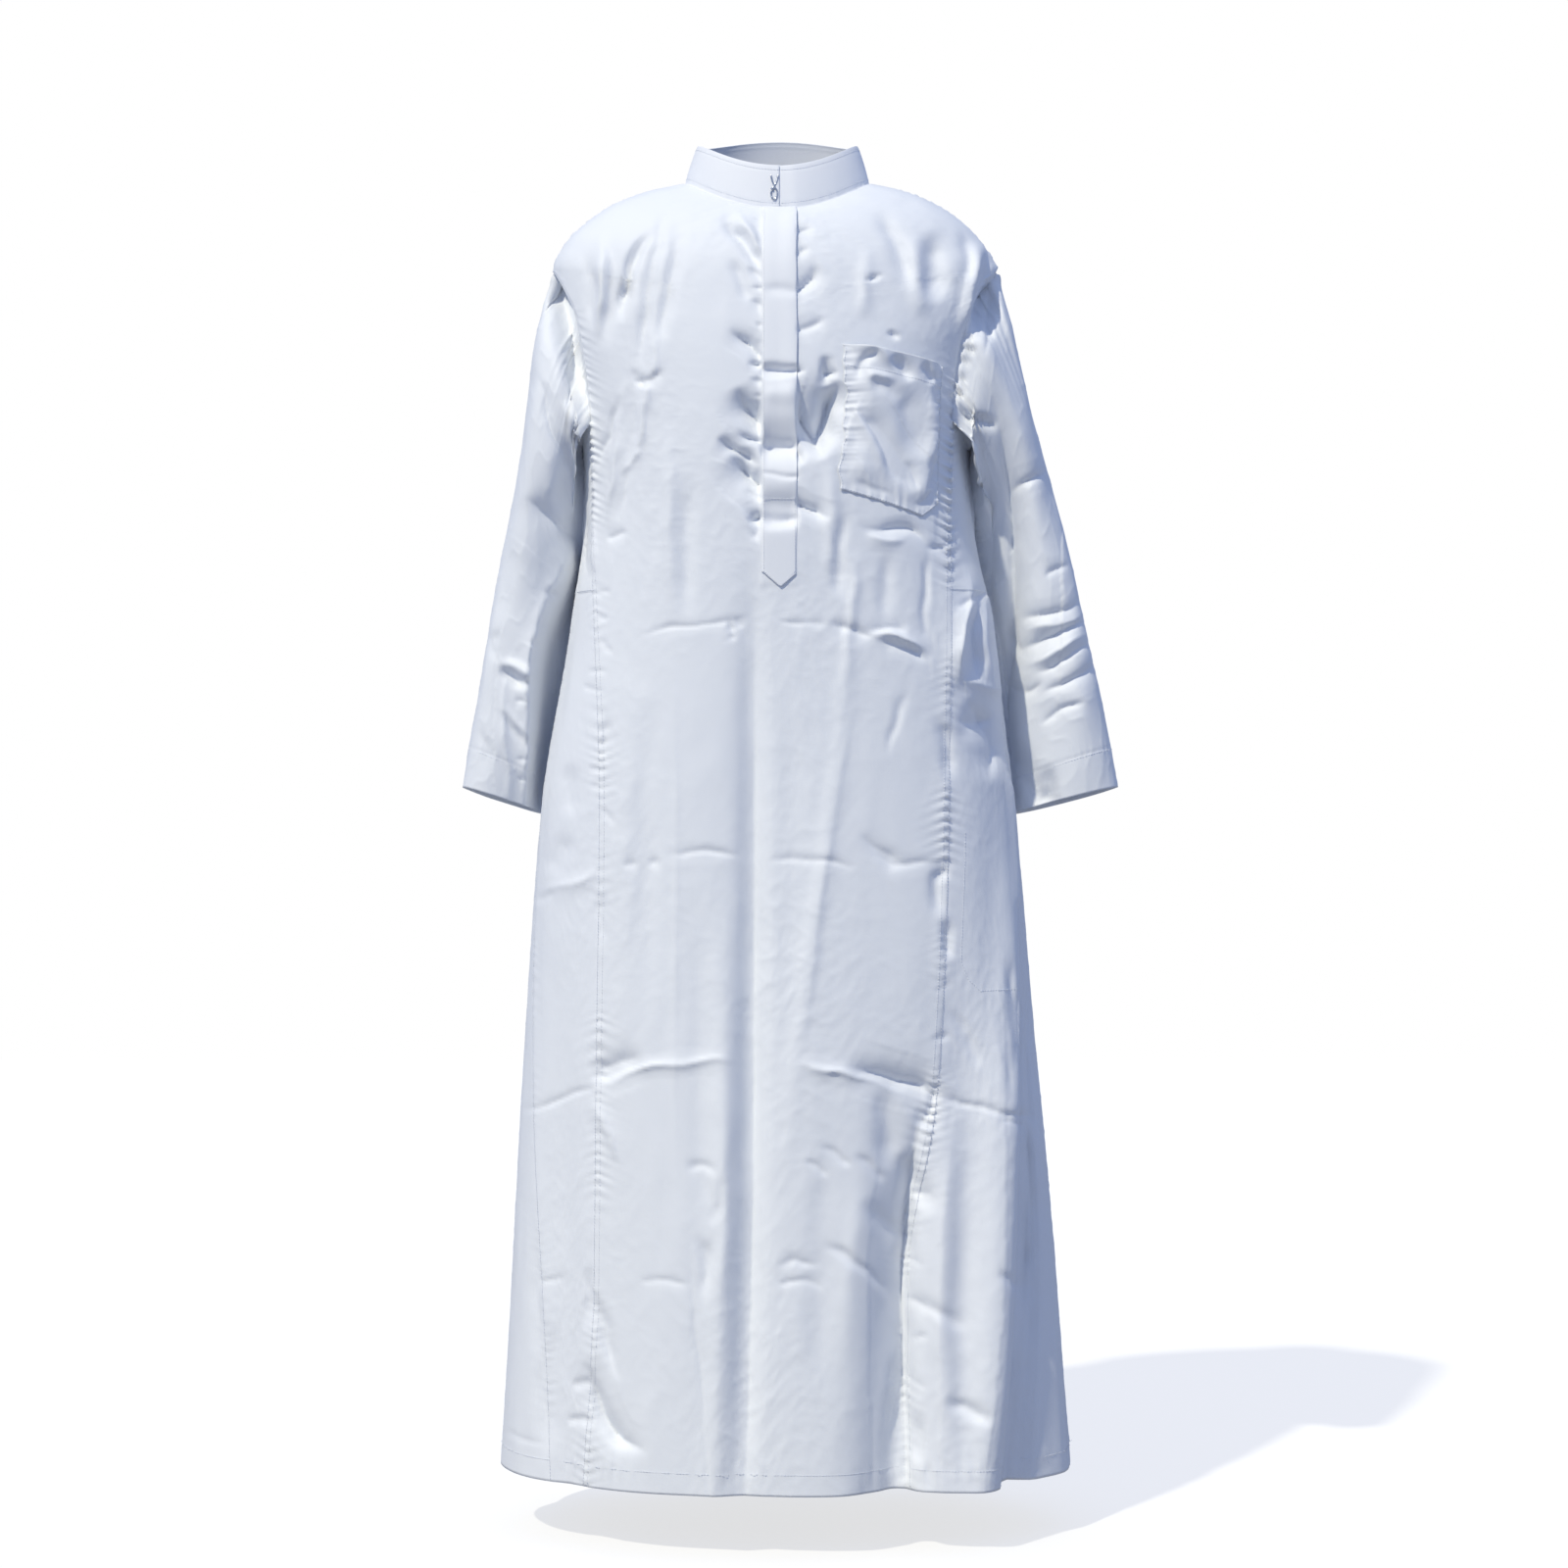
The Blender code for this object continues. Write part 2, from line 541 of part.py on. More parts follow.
# ------------------------------------------------------------------ placket and chest pocket
def laid_piece(name, beneath, angle, down, side):
    """A piece stitched flat on another: its grid is that piece's own skin, moved out (side 1) or in."""
    mesh = bpy.data.objects[beneath].data
    skin = BVHTree.FromPolygons([v.co for v in mesh.vertices], [p.vertices for p in mesh.polygons])
    out = side * torso_out(angle, down)
    above = torso(angle, down) + 0.01 * out
    aims = zip(above.reshape(-1, 3), out.reshape(-1, 3))
    hits = [skin.ray_cast(Vector(point), Vector(-aim))[0] for point, aim in aims]
    near = np.array(hits).reshape(above.shape) + LAID_ON * out
    return solid(name, near + WALL * out, near)


def placket():
    """A strip from the collar to a pointed end, over the front opening."""
    x = np.array([PLACKET_RIGHT, PLACKET_RIGHT / 2, PLACKET_TIP_X, PLACKET_LEFT / 2, PLACKET_LEFT])
    to_tip = np.array([0.0, 0.5, 1.0, 0.5, 0.0])
    foot = PLACKET_SHOULDER_DOWN + (PLACKET_TIP_DOWN - PLACKET_SHOULDER_DOWN) * to_tip
    rows = PANEL_ROWS[(PANEL_ROWS > 0) & (PANEL_ROWS < PLACKET_SHOULDER_DOWN - 0.01)]
    down = np.vstack([np.full(5, PLACKET_TOP_DOWN), np.repeat(rows[:, None], 5, axis=1), foot])
    angle = angle_at(np.broadcast_to(x, down.shape), down)
    laid_piece("placket", "front_panel", angle, down, 1)


def chest_pocket():
    """A patch pocket, open along its sloping top edge, with a shallow pointed foot."""
    high = np.array(POCKET_TOP_COLUMNS)
    low = np.array(POCKET_FOOT_COLUMNS)
    across = (low - low[0]) / (low[-1] - low[0])
    top = np.interp(across, [0, 1], POCKET_TOP_DOWN)
    foot = np.interp(across, [0, 0.8, 1], POCKET_FOOT_DOWN)
    fall = np.linspace(0, 1, 9)[:, None]
    down = top + (foot - top) * fall
    front_right, front_left, _, _ = seam_angles(down)
    share = (high + (low - high) * fall) / (FRONT_COLUMNS - 1)
    angle = front_right + (front_left - front_right) * share
    laid_piece("chest_pocket", "front_panel", angle, down, 1)


# ------------------------------------------------------------------ side pocket bag
def side_pocket_bag():
    """A pocket bag against the inside of the left-hand front gore, its lower corner rounded."""
    rows = GORE_ROWS[(GORE_ROWS > BAG_TOP_DOWN) & (GORE_ROWS < BAG_LOW_DOWN)]
    down = np.concatenate([[BAG_TOP_DOWN], rows, BAG_CORNER_DOWN])[:, None]
    inner = np.interp(down, BAG_CORNER_DOWN, BAG_CORNER_SHARE)
    share = inner + (BAG_OUTER_SHARE - inner) * np.linspace(0, 1, 5)
    down = np.broadcast_to(down, share.shape)
    front, _ = side_angles(1, down[:, 0])
    angle = front[:, :1] + (front[:, -1:] - front[:, :1]) * share
    laid_piece("side_pocket_bag", "gore_front_left", angle, down, -1)


# ------------------------------------------------------------------ metal collar fastener
def fastener_place(up, across, along):
    """Points beside and above a place on the collar's face, standing off it."""
    angle = np.array(math.radians(FASTENER_DEG) + 2 * math.pi)
    flat = np.array(0.0)
    here = collar(angle, np.array(up), flat)
    upward = collar(angle, np.array(up + 0.01), flat) - here
    beside = collar(angle + 0.01, np.array(up), flat) - here
    upward /= np.linalg.norm(upward)
    out = np.cross(beside, upward)
    out /= np.linalg.norm(out)
    beside = np.cross(upward, out)
    return here + across[:, None] * beside + along[:, None] * upward + FASTENER_CLEAR * out


def wire(name, points, closed):
    """A round metal wire bent along the points."""
    line = bpy.data.curves.new(name, "CURVE")
    line.dimensions = "3D"
    line.bevel_depth = WIRE
    line.bevel_resolution = 2
    line.use_fill_caps = not closed
    spline = line.splines.new("POLY")
    spline.points.add(len(points) - 1)
    spline.points.foreach_set("co", np.column_stack([points, np.ones(len(points))]).ravel())
    spline.use_cyclic_u = closed
    line.materials.append(steel(name))
    made = bpy.data.objects.new(name, line)
    bpy.context.scene.collection.objects.link(made)
    return made


def collar_fastener():
    """A wire hook, its two legs open at the top, above a closed drop-shaped eye."""
    turn = np.linspace(0, 2 * math.pi, 16, endpoint=False)
    drop = EYE_WIDE * np.sin(turn) * (1 + 0.12 * np.cos(turn))
    wire("collar_eye", fastener_place(EYE_UP, drop, EYE_TALL * np.cos(turn)), closed=True)
    bend = np.linspace(-1, 1, 11)
    rise = HOOK_TALL * np.abs(bend) ** 1.6
    legs = HOOK_WIDE * np.sign(bend) * np.abs(bend) ** 0.8
    wire("collar_hook", fastener_place(HOOK_FOOT_UP, legs, rise), closed=False)


panels()
side_pieces("right", -1)
side_pieces("left", 1)
sleeve("sleeve_right", -1, SLEEVE_RIGHT)
sleeve("sleeve_left", 1, SLEEVE_LEFT)
collar_band()
placket()
chest_pocket()
side_pocket_bag()
collar_fastener()
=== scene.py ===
import math

import bpy
import numpy as np
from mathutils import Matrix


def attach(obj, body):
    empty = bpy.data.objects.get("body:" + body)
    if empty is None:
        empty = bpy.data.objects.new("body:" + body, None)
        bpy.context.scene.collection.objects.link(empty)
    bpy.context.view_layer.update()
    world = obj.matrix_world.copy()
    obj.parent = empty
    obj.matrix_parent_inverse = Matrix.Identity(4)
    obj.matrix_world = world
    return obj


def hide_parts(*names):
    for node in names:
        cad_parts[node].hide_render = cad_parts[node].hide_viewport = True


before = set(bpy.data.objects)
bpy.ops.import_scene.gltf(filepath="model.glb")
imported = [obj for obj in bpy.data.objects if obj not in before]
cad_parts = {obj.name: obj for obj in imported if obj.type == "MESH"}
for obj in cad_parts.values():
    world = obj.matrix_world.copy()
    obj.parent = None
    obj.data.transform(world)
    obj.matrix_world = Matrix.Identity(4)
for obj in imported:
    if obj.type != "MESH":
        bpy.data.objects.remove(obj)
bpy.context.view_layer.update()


# ------------------------------------------------------------------ camera, light and floor
# A long lens looks straight at the robe from 3.6 m ahead, level with the middle of its length.
# One clear light from the upper left draws the folds, and a pale blue surround fills their shade.
VIEW_AHEAD = 3.6
VIEW_WIDE = 1.76  # width seen at the robe's middle plane
VIEW_X = 0.0044
VIEW_Z = -0.673
SUN_HIGH = math.radians(50)  # height of the key light above the horizon
SUN_ROUND = math.radians(-36)  # how far round from straight ahead it stands, to the left
FLOOR_Z = -1.50


def add_object(name, data):
    """An object at the origin, in the scene's own collection."""
    made = bpy.data.objects.new(name, data)
    bpy.context.scene.collection.objects.link(made)
    return made


def set_inputs(node, values):
    """Give a node's inputs their plain values."""
    for socket, value in values.items():
        node.inputs[socket].default_value = value


def new_material(name):
    """A material, its node tree and its principled shader."""
    made = bpy.data.materials.new(name)
    made.use_nodes = True
    return made, made.node_tree, made.node_tree.nodes["Principled BSDF"]


def split_for_camera(tree, lit, seen, output):
    """Use one shader for the light it gives and another for what the camera sees of it."""
    ray = tree.nodes.new("ShaderNodeLightPath")
    mix = tree.nodes.new("ShaderNodeMixShader")
    tree.links.new(ray.outputs["Is Camera Ray"], mix.inputs["Fac"])
    tree.links.new(lit.outputs[0], mix.inputs[1])
    tree.links.new(seen.outputs[0], mix.inputs[2])
    tree.links.new(mix.outputs["Shader"], tree.nodes[output].inputs["Surface"])


camera = bpy.data.cameras.new("camera")
camera.sensor_width = 36
camera.lens = camera.sensor_width * VIEW_AHEAD / VIEW_WIDE
camera_object = add_object("camera", camera)
camera_object.location = (VIEW_X, -VIEW_AHEAD, VIEW_Z)
camera_object.rotation_euler = (math.pi / 2, 0, 0)
bpy.context.scene.camera = camera_object

key = bpy.data.lights.new("key_light", "SUN")
key.energy = 2.75
key.angle = math.radians(1.6)
key.color = (1.0, 0.94, 0.76)
key_object = add_object("key_light", key)
key_object.rotation_euler = (math.pi / 2 - SUN_HIGH, 0, SUN_ROUND)

world = bpy.data.worlds.new("studio")
world.use_nodes = True
surround = world.node_tree.nodes["Background"]
set_inputs(surround, {"Color": (0.46, 0.60, 1.0, 1), "Strength": 0.60})
backdrop = world.node_tree.nodes.new("ShaderNodeBackground")
set_inputs(backdrop, {"Color": (1, 1, 1, 1)})
split_for_camera(world.node_tree, surround, backdrop, "World Output")
bpy.context.scene.world = world
bpy.context.scene.view_settings.view_transform = "Standard"

floor_mesh = bpy.data.meshes.new("floor")
corners = [(-6, -6), (6, -6), (6, 6), (-6, 6)]
floor_mesh.from_pydata([(x, y, FLOOR_Z) for x, y in corners], [], [(0, 1, 2, 3)])
floor = add_object("floor", floor_mesh)
finish, tree, floor_shader = new_material("pale_floor")
floor_seen = tree.nodes.new("ShaderNodeBsdfPrincipled")
for shader in (floor_shader, floor_seen):
    set_inputs(shader, {"Base Color": (0.30, 0.30, 0.30, 1), "Roughness": 0.9})
set_inputs(floor_seen, {"Emission Color": (1, 1, 1, 1), "Emission Strength": 0.72})
split_for_camera(tree, floor_shader, floor_seen, "Material Output")
floor_mesh.materials.append(finish)


# ------------------------------------------------------------------ front panel
# The straight front of the robe, one length of white cotton and polyester poplin from the
# shoulder and neck seams down to a turned and stitched hem. Its long edges are folded over the
# side gores and topstitched, and the cloth still shows the creases of the packet it came in.
TIP_DOWN = 0.188  # length down the side of the body from the neck seam to the shoulder's tip
UNDERARM_DOWN = 0.362  # the same measure, to the underarm
GORE_DOWN = 0.548  # to the foot of the underarm gusset, where the gores start
HEM_DOWN = 1.522  # to the hem

# Rings of the body.  down: the measure above; z: height at the side; right, left: half widths;
# front, back: depths; square: 0 for an ellipse, 0.06 for a boxy ring.
SECTION_COLUMNS = ("down", "z", "right", "left", "front", "back", "square")
SECTIONS = (
    (0.000, 0.000, 0.1055, 0.1000, 0.070, 0.068, 0.000),
    (0.040, -0.008, 0.1440, 0.1360, 0.084, 0.083, 0.000),
    (0.085, -0.023, 0.1850, 0.1730, 0.097, 0.098, 0.005),
    (0.120, -0.042, 0.2140, 0.2020, 0.106, 0.108, 0.010),
    (0.155, -0.067, 0.2400, 0.2260, 0.114, 0.116, 0.010),
    (0.188, -0.098, 0.2540, 0.2430, 0.120, 0.121, 0.010),
    (0.240, -0.150, 0.2480, 0.2350, 0.128, 0.125, 0.015),
    (0.295, -0.205, 0.2360, 0.2170, 0.134, 0.126, 0.020),
    (0.362, -0.272, 0.2230, 0.2080, 0.139, 0.124, 0.025),
    (0.440, -0.350, 0.2180, 0.2120, 0.142, 0.121, 0.030),
    (0.590, -0.500, 0.2350, 0.2380, 0.146, 0.122, 0.030),
    (0.790, -0.700, 0.2680, 0.2630, 0.155, 0.136, 0.025),
    (1.090, -1.000, 0.2885, 0.2885, 0.172, 0.160, 0.015),
    (1.390, -1.300, 0.3050, 0.3145, 0.186, 0.182, 0.005),
    (1.522, -1.432, 0.3125, 0.3250, 0.190, 0.190, 0.000),
)

# How far each ring dips at centre front and rises at centre back, against its height at the side.
TILT_COLUMNS = ("down", "front", "back")
TILTS = (
    (0.000, -0.039, 0.015),
    (0.085, -0.042, 0.004),
    (0.188, -0.037, -0.006),
    (0.295, -0.020, -0.008),
    (0.440, 0.000, 0.000),
    (1.522, 0.000, 0.000),
)

# Where the four long seams cross each ring: distance of the seam from the centre plane.
SEAM_COLUMNS = ("down", "front_right", "front_left", "back_right", "back_left")
SEAMS = (
    (0.188, 0.2540, 0.2430, 0.2540, 0.2430),
    (0.205, 0.2430, 0.2270, 0.2460, 0.2300),
    (0.240, 0.2260, 0.2080, 0.2310, 0.2120),
    (0.295, 0.2160, 0.1960, 0.2190, 0.1990),
    (0.362, 0.2090, 0.1890, 0.2080, 0.1910),
    (0.520, 0.2040, 0.1840, 0.2000, 0.1880),
    (0.790, 0.1930, 0.1800, 0.1930, 0.1860),
    (1.090, 0.1960, 0.1670, 0.1950, 0.1880),
    (1.300, 0.1980, 0.1380, 0.2000, 0.1920),
    (1.522, 0.2120, 0.1390, 0.2060, 0.1980),
)

# Where the side seams cross each ring, degrees round from centre front.
SIDE_SEAM_COLUMNS = ("down", "right", "left")
SIDE_SEAMS = (
    (0.362, -80.0, 80.0),
    (0.800, -78.0, 76.0),
    (0.920, -75.0, 69.0),
    (1.090, -68.0, 63.0),
    (1.225, -62.0, 59.5),
    (1.365, -57.0, 53.5),
    (1.522, -53.0, 45.0),
)

# Largest folds that run down the cloth: angle round the body at the waist and at the hem,
# half width, depth (negative goes in), and the two levels between which the fold grows.
FOLDS = (
    (-6.0, -6.0, 7.0, -0.006, 0.45, 0.90),
    (28.0, 21.0, 6.0, -0.020, 0.95, 1.45),
    (70.0, 41.0, 9.0, 0.018, 0.75, 1.15),
    (74.0, 50.5, 4.5, -0.024, 0.85, 1.20),
    (-58.0, -48.0, 7.0, -0.008, 0.80, 1.35),
    (50.0, 36.0, 7.0, 0.006, 0.70, 1.20),
    (84.0, 72.0, 8.0, 0.006, 0.90, 1.40),
    (112.0, 116.0, 9.0, -0.012, 0.55, 1.30),
    (136.0, 139.0, 9.0, 0.012, 0.50, 1.25),
    (160.0, 162.0, 9.0, -0.014, 0.55, 1.30),
    (-176.0, -176.0, 10.0, 0.012, 0.45, 1.25),
    (-152.0, -154.0, 9.0, -0.013, 0.55, 1.35),
    (-128.0, -131.0, 9.0, 0.011, 0.50, 1.25),
    (-104.0, -106.0, 7.0, -0.010, 0.60, 1.30),
)


def smooth(at, knots, values):
    """Cubic curve through (knots, values) whose slopes never overshoot the points."""
    knots = np.asarray(knots, float)
    values = np.asarray(values, float)
    step = np.diff(knots)
    slope = np.diff(values) / step
    total = np.where(slope[:-1] + slope[1:] == 0, 1, slope[:-1] + slope[1:])
    inner = np.where(slope[:-1] * slope[1:] > 0, 2 * slope[:-1] * slope[1:] / total, 0)
    tangent = np.concatenate(([slope[0]], inner, [slope[-1]]))
    at = np.clip(at, knots[0], knots[-1])
    k = np.clip(np.searchsorted(knots, at, side="right") - 1, 0, len(step) - 1)
    t = (at - knots[k]) / step[k]
    return (
        values[k] * (1 + 2 * t) * (1 - t) ** 2
        + step[k] * tangent[k] * t * (1 - t) ** 2
        + values[k + 1] * t * t * (3 - 2 * t)
        + step[k] * tangent[k + 1] * t * t * (t - 1)
    )


def read(columns, rows, at):
    """Every column of a table, at the places given in its first column."""
    numbers = np.array(rows)
    return {
        name: smooth(at, numbers[:, 0], numbers[:, i]) for i, name in enumerate(columns) if i
    }


def ease(t):
    """0 before 0, 1 after 1, and smooth between."""
    t = np.clip(t, 0, 1)
    return t * t * (3 - 2 * t)


def bell(x, wide):
    """exp(-(x / wide)^2)."""
    return np.exp(-((x / wide) ** 2))


def unit(vectors):
    """Vectors scaled to length 1."""
    return vectors / np.linalg.norm(vectors, axis=-1, keepdims=True)


def ring_unit(angle, square):
    """Reach sideways and forwards of a unit ring: an ellipse squared up by its third harmonic."""
    across = (np.sin(angle) + square * np.sin(3 * angle)) / (1 - square)
    forward = (np.cos(angle) - square * np.cos(3 * angle)) / (1 - square)
    return across, forward


def folds(degrees, down):
    """Sum of the large folds, each a bell across the cloth that grows down it."""
    total = np.zeros_like(down)
    for waist, hem, wide, depth, starts, full in FOLDS:
        share = np.clip((down - starts) / (HEM_DOWN - starts), 0, 1)
        away = (degrees - waist - (hem - waist) * share + 180) % 360 - 180
        grown = ease((down - starts) / (full - starts))
        total = total + depth * bell(away, wide) * grown
    return total


def torso(angle, down):
    """The body's surface: a ring read from the tables at each level, with the folds pushed in."""
    angle, down = np.broadcast_arrays(np.asarray(angle, float), np.asarray(down, float))
    angle = (angle + math.pi) % (2 * math.pi) - math.pi
    size = read(SECTION_COLUMNS, SECTIONS, down)
    tilt = read(TILT_COLUMNS, TILTS, down)
    across, forward = ring_unit(angle, size["square"])
    half = np.where(angle < 0, size["right"], size["left"])
    depth = np.where(forward > 0, size["front"], size["back"])
    dip = np.where(forward > 0, tilt["front"], tilt["back"])
    out_x = across / half
    out_y = -forward / depth
    push = folds(np.degrees(angle), down) / np.hypot(out_x, out_y)
    x = half * across + push * out_x
    y = -depth * forward + push * out_y
    z = size["z"] + dip * np.cos(angle) ** 2
    return np.stack([x, y, z], axis=-1)


def torso_out(angle, down, step=1e-4):
    """Unit normals of the body's surface, pointing away from the wearer."""
    down = np.clip(down, 5 * step, HEM_DOWN - 5 * step)
    across = torso(angle + step, down) - torso(angle - step, down)
    falling = torso(angle, down + step) - torso(angle, down - step)
    return unit(np.cross(falling, across))


def ring_pace(angle, down, step=1e-3):
    """Metres of cloth to one radian round the body."""
    moved = torso(angle + step, down) - torso(angle - step, down)
    return np.linalg.norm(moved, axis=-1) / (2 * step)


def angle_at(x, down):
    """The angle on the front half at which a ring passes the distance x from the centre plane."""
    x, down = np.broadcast_arrays(np.asarray(x, float), np.asarray(down, float))
    size = read(SECTION_COLUMNS, SECTIONS, down)
    share = np.clip(np.abs(x) / np.where(x < 0, size["right"], size["left"]), 0, 1)
    low = np.zeros_like(share)
    high = np.full_like(share, math.pi / 2)
    for _ in range(30):
        middle = (low + high) / 2
        short = ring_unit(middle, size["square"])[0] < share
        low = np.where(short, middle, low)
        high = np.where(short, high, middle)
    return np.sign(x) * (low + high) / 2


def seam_angles(down):
    """Angles of the long seams by name, each in its own direction round from centre front.

    Above the shoulder's tip the four that border the panels are the shoulder seams.
    """
    levels = np.linspace(0, HEM_DOWN, 762)
    line = read(SEAM_COLUMNS, SEAMS, np.maximum(levels, TIP_DOWN))
    side = read(SIDE_SEAM_COLUMNS, SIDE_SEAMS, levels)
    found = {name: angle_at(-line[name], levels) for name in ("front_right", "back_right")}
    found |= {name: angle_at(line[name], levels) for name in ("front_left", "back_left")}
    found["back_right"] = -math.pi - found["back_right"]
    found["back_left"] = math.pi - found["back_left"]
    for name, angles in found.items():
        shoulder = math.copysign(math.pi / 2, angles[-1])
        found[name] = np.where(levels > TIP_DOWN, angles, shoulder)
    found |= {"side_right": np.radians(side["right"]), "side_left": np.radians(side["left"])}
    return {name: np.interp(down, levels, angles) for name, angles in found.items()}


# Creases are drawn on a plan of the robe as it is seen from straight ahead and 3.6 m away, in
# squares of 1.1 mm: column 796 is its centre line and row 188 its neck point.  Each row is the
# rise in steps of 1.5 mm (negative is a trough), the lean that makes one flank higher than the
# other, the half width in squares, and then column and row of every point the crease passes.
PLAN_SQUARE = 0.0011
PLAN_MIDDLE = 800  # column and row at the middle of the view
CREASE_STEP = 0.0015
CREASE_REACH = 3.2  # half widths from its line beyond which a crease does nothing
CREST_ROUND = 0.7  # squares over which the crest of a pressed crease is rounded
SOFT_CREASES = (
    # shoulders
    (-7.7, 0, 5, 670, 230, 655, 250, 645, 268, 638, 300, 631, 332),
    (-4.2, 0, 5, 680, 210, 670, 256, 661, 298, 655, 345, 652, 380),
    (-3.1, 0, 6, 696, 216, 685, 278, 678, 320, 670, 366),
    (4.2, 0, 5, 615, 236, 613, 290, 610, 350),
    (-4.2, 0, 7, 600, 250, 602, 290, 603, 340),
    (-3.4, 0, 8, 626, 236, 624, 300, 619, 360),
    (-7, 0, 5, 738, 220, 748, 233, 762, 251, 783, 279),
    (4.2, 0, 5, 750, 216, 766, 240, 783, 262),
    (-2.5, 0, 5, 744, 262, 758, 290, 770, 312),
    (-2.8, 0, 8, 706, 480, 700, 560, 702, 640),
    (2.2, 0, 8, 684, 420, 682, 520, 684, 640),
    (-4.2, 0, 8, 892, 208, 906, 232, 917, 252, 928, 300),
    (-6.3, 0, 13, 950, 232, 953, 264, 955, 312),
    (4.2, 0, 9, 934, 232, 936, 280, 944, 330),
    (-3.5, 0, 5, 984, 232, 988, 262, 984, 290),
    (-2.5, 0, 3, 888, 290, 898, 276),
    (-2.5, 0, 3, 905, 336, 918, 347),
    (2.5, 0, 7, 884, 250, 882, 330),
    # chest
    (0, 8, 9, 1006, 240, 1001, 282, 995, 312, 990, 350),
    (-5, 0, 5, 846, 360, 843, 380, 842, 398),
    (-4, 0, 5, 845, 404, 843, 424, 849, 452),
    (-3, 0, 6, 864, 510, 858, 560, 854, 616),
    (2.5, 0, 7, 850, 460, 848, 520, 846, 600),
    (2, 0, 5, 874, 560, 868, 640, 860, 720),
    (-2, 0, 7, 906, 560, 904, 600, 900, 640),
    (-2.5, 0, 4, 943, 560, 945, 600, 944, 660),
    # down the robe
    (-7.5, 0, 13, 766, 500, 767, 800, 765, 1200, 762, 1350, 752, 1660),
    (4.5, 0, 13, 738, 900, 740, 1100, 736, 1300, 722, 1660),
    (1.6, 0, 9, 880, 560, 862, 715, 837, 900, 812, 1090, 798, 1250),
    (-1.6, 0, 12, 712, 880, 712, 1080, 718, 1300),
    (-1.4, 0, 12, 664, 660, 660, 860, 662, 1060),
    (1.4, 0, 14, 640, 660, 636, 860, 634, 1060),
    (-1.6, 0, 14, 812, 660, 806, 900, 800, 1100),
    (-1.5, 0, 4, 924, 700, 914, 734, 901, 775),
    (-2, 0, 9, 700, 1190, 716, 1200, 732, 1250, 722, 1290, 716, 1340),
    (-1.6, 0, 5, 696, 1197, 715, 1188, 734, 1201),
    (-1.4, 0, 5, 735, 1190, 737, 1225, 723, 1250),
    (-1.5, 0, 6, 710, 1256, 722, 1290, 715, 1326),
    (1.5, 0, 10, 880, 1180, 868, 1300, 860, 1420),
    (-1.8, 0, 14, 846, 1120, 838, 1280, 836, 1440),
    # skirt
    (-4, 0, 16, 912, 1100, 908, 1240, 904, 1400, 900, 1640),
    (0, -7, 36, 1004, 880, 1004, 1100, 1002, 1300, 996, 1500, 990, 1700),
    (-2, 6, 13, 918, 1320, 911, 1420, 906, 1520, 904, 1660),
    (5, 0, 14, 972, 1060, 968, 1200, 962, 1320, 966, 1420, 974, 1600),
    (-4, 0, 6, 1030, 960, 1036, 1040, 1040, 1120),
    (-5, 0, 12, 897, 1104, 905, 1150, 905, 1198),
    (-6, 0, 10, 917, 1172, 935, 1210, 948, 1243),
    (-3, 0, 9, 880, 1220, 905, 1250, 936, 1273),
    (-3, 0, 5, 838, 1266, 867, 1283, 890, 1301, 910, 1325),
    (-6, 0, 8, 925, 1190, 925, 1260, 921, 1330),
    (-4, 0, 7, 970, 872, 955, 905, 961, 938),
    (-4, 0, 5, 966, 934, 966, 984),
    (-5, 0, 7, 959, 728, 966, 765, 971, 802),
    (-4, 0, 7, 936, 1440, 936, 1500),
    (-1.5, 0, 3.5, 820, 1181, 846, 1199),
    (-1.5, 0, 3.5, 835, 1169, 872, 1192),
    (-2, 0, 4, 876, 1176, 903, 1211),
    (-3, 0, 6, 939, 1325, 988, 1358),
    (-3, 0, 7, 962, 1427, 1016, 1451),
    (-2, 0, 5, 1014, 1298, 1047, 1318),
    (-1.5, 0, 6, 967, 1025, 1007, 1095),
    (-2, 0, 6, 1022, 1016, 1034, 1133),
    (-3, 0, 6, 603, 1308, 631, 1414),
    (-2.5, 0, 4, 613, 908, 613, 967),
    (-2.5, 0, 4, 619, 724, 619, 781),
    (-3, 0, 5, 600, 1290, 602, 1358),
    (-3, 0, 5, 576, 1450, 609, 1450),
    (-2.5, 0, 4, 582, 1413, 603, 1412),
    (-3, 0, 10, 582, 776, 582, 838),
    (-2.5, 0, 10, 582, 850, 558, 895),
    (-3, 0, 9, 563, 1340, 562, 1492),
    (-1, 0, 3, 512, 1461, 558, 1474),
    (-2.5, 0, 5, 546, 1238, 549, 1330, 553, 1417, 558, 1500),
    # short puckers across the two front seams
    (-1.2, 0, 2.6, 601, 603, 624, 605),
    (-1.2, 0, 2.6, 605, 628, 622, 630),
    (-1.4, 0, 2.6, 613, 653, 626, 669),
    (-1.2, 0, 2.6, 599, 683, 622, 685),
    (-1.3, 0, 2.6, 594, 702, 618, 706),
    (-1.2, 0, 2.6, 600, 785, 621, 787),
    (-1.2, 0, 2.6, 601, 802, 622, 804),
    (-1.3, 0, 2.6, 613, 824, 626, 841),
    (-1.5, 0, 2.6, 936, 1143, 962, 1152),
    (-1.5, 0, 2.6, 922, 1226, 952, 1218),
    (-1.3, 0, 2.6, 916, 1285, 944, 1293),
    (-1.3, 0, 2.6, 924, 1372, 950, 1364),
    (-1.3, 0, 2.6, 920, 1408, 946, 1416),
    (-1.2, 0, 2.6, 952, 1010, 976, 1002),
    (-1.2, 0, 2.6, 950, 1062, 972, 1056),
)
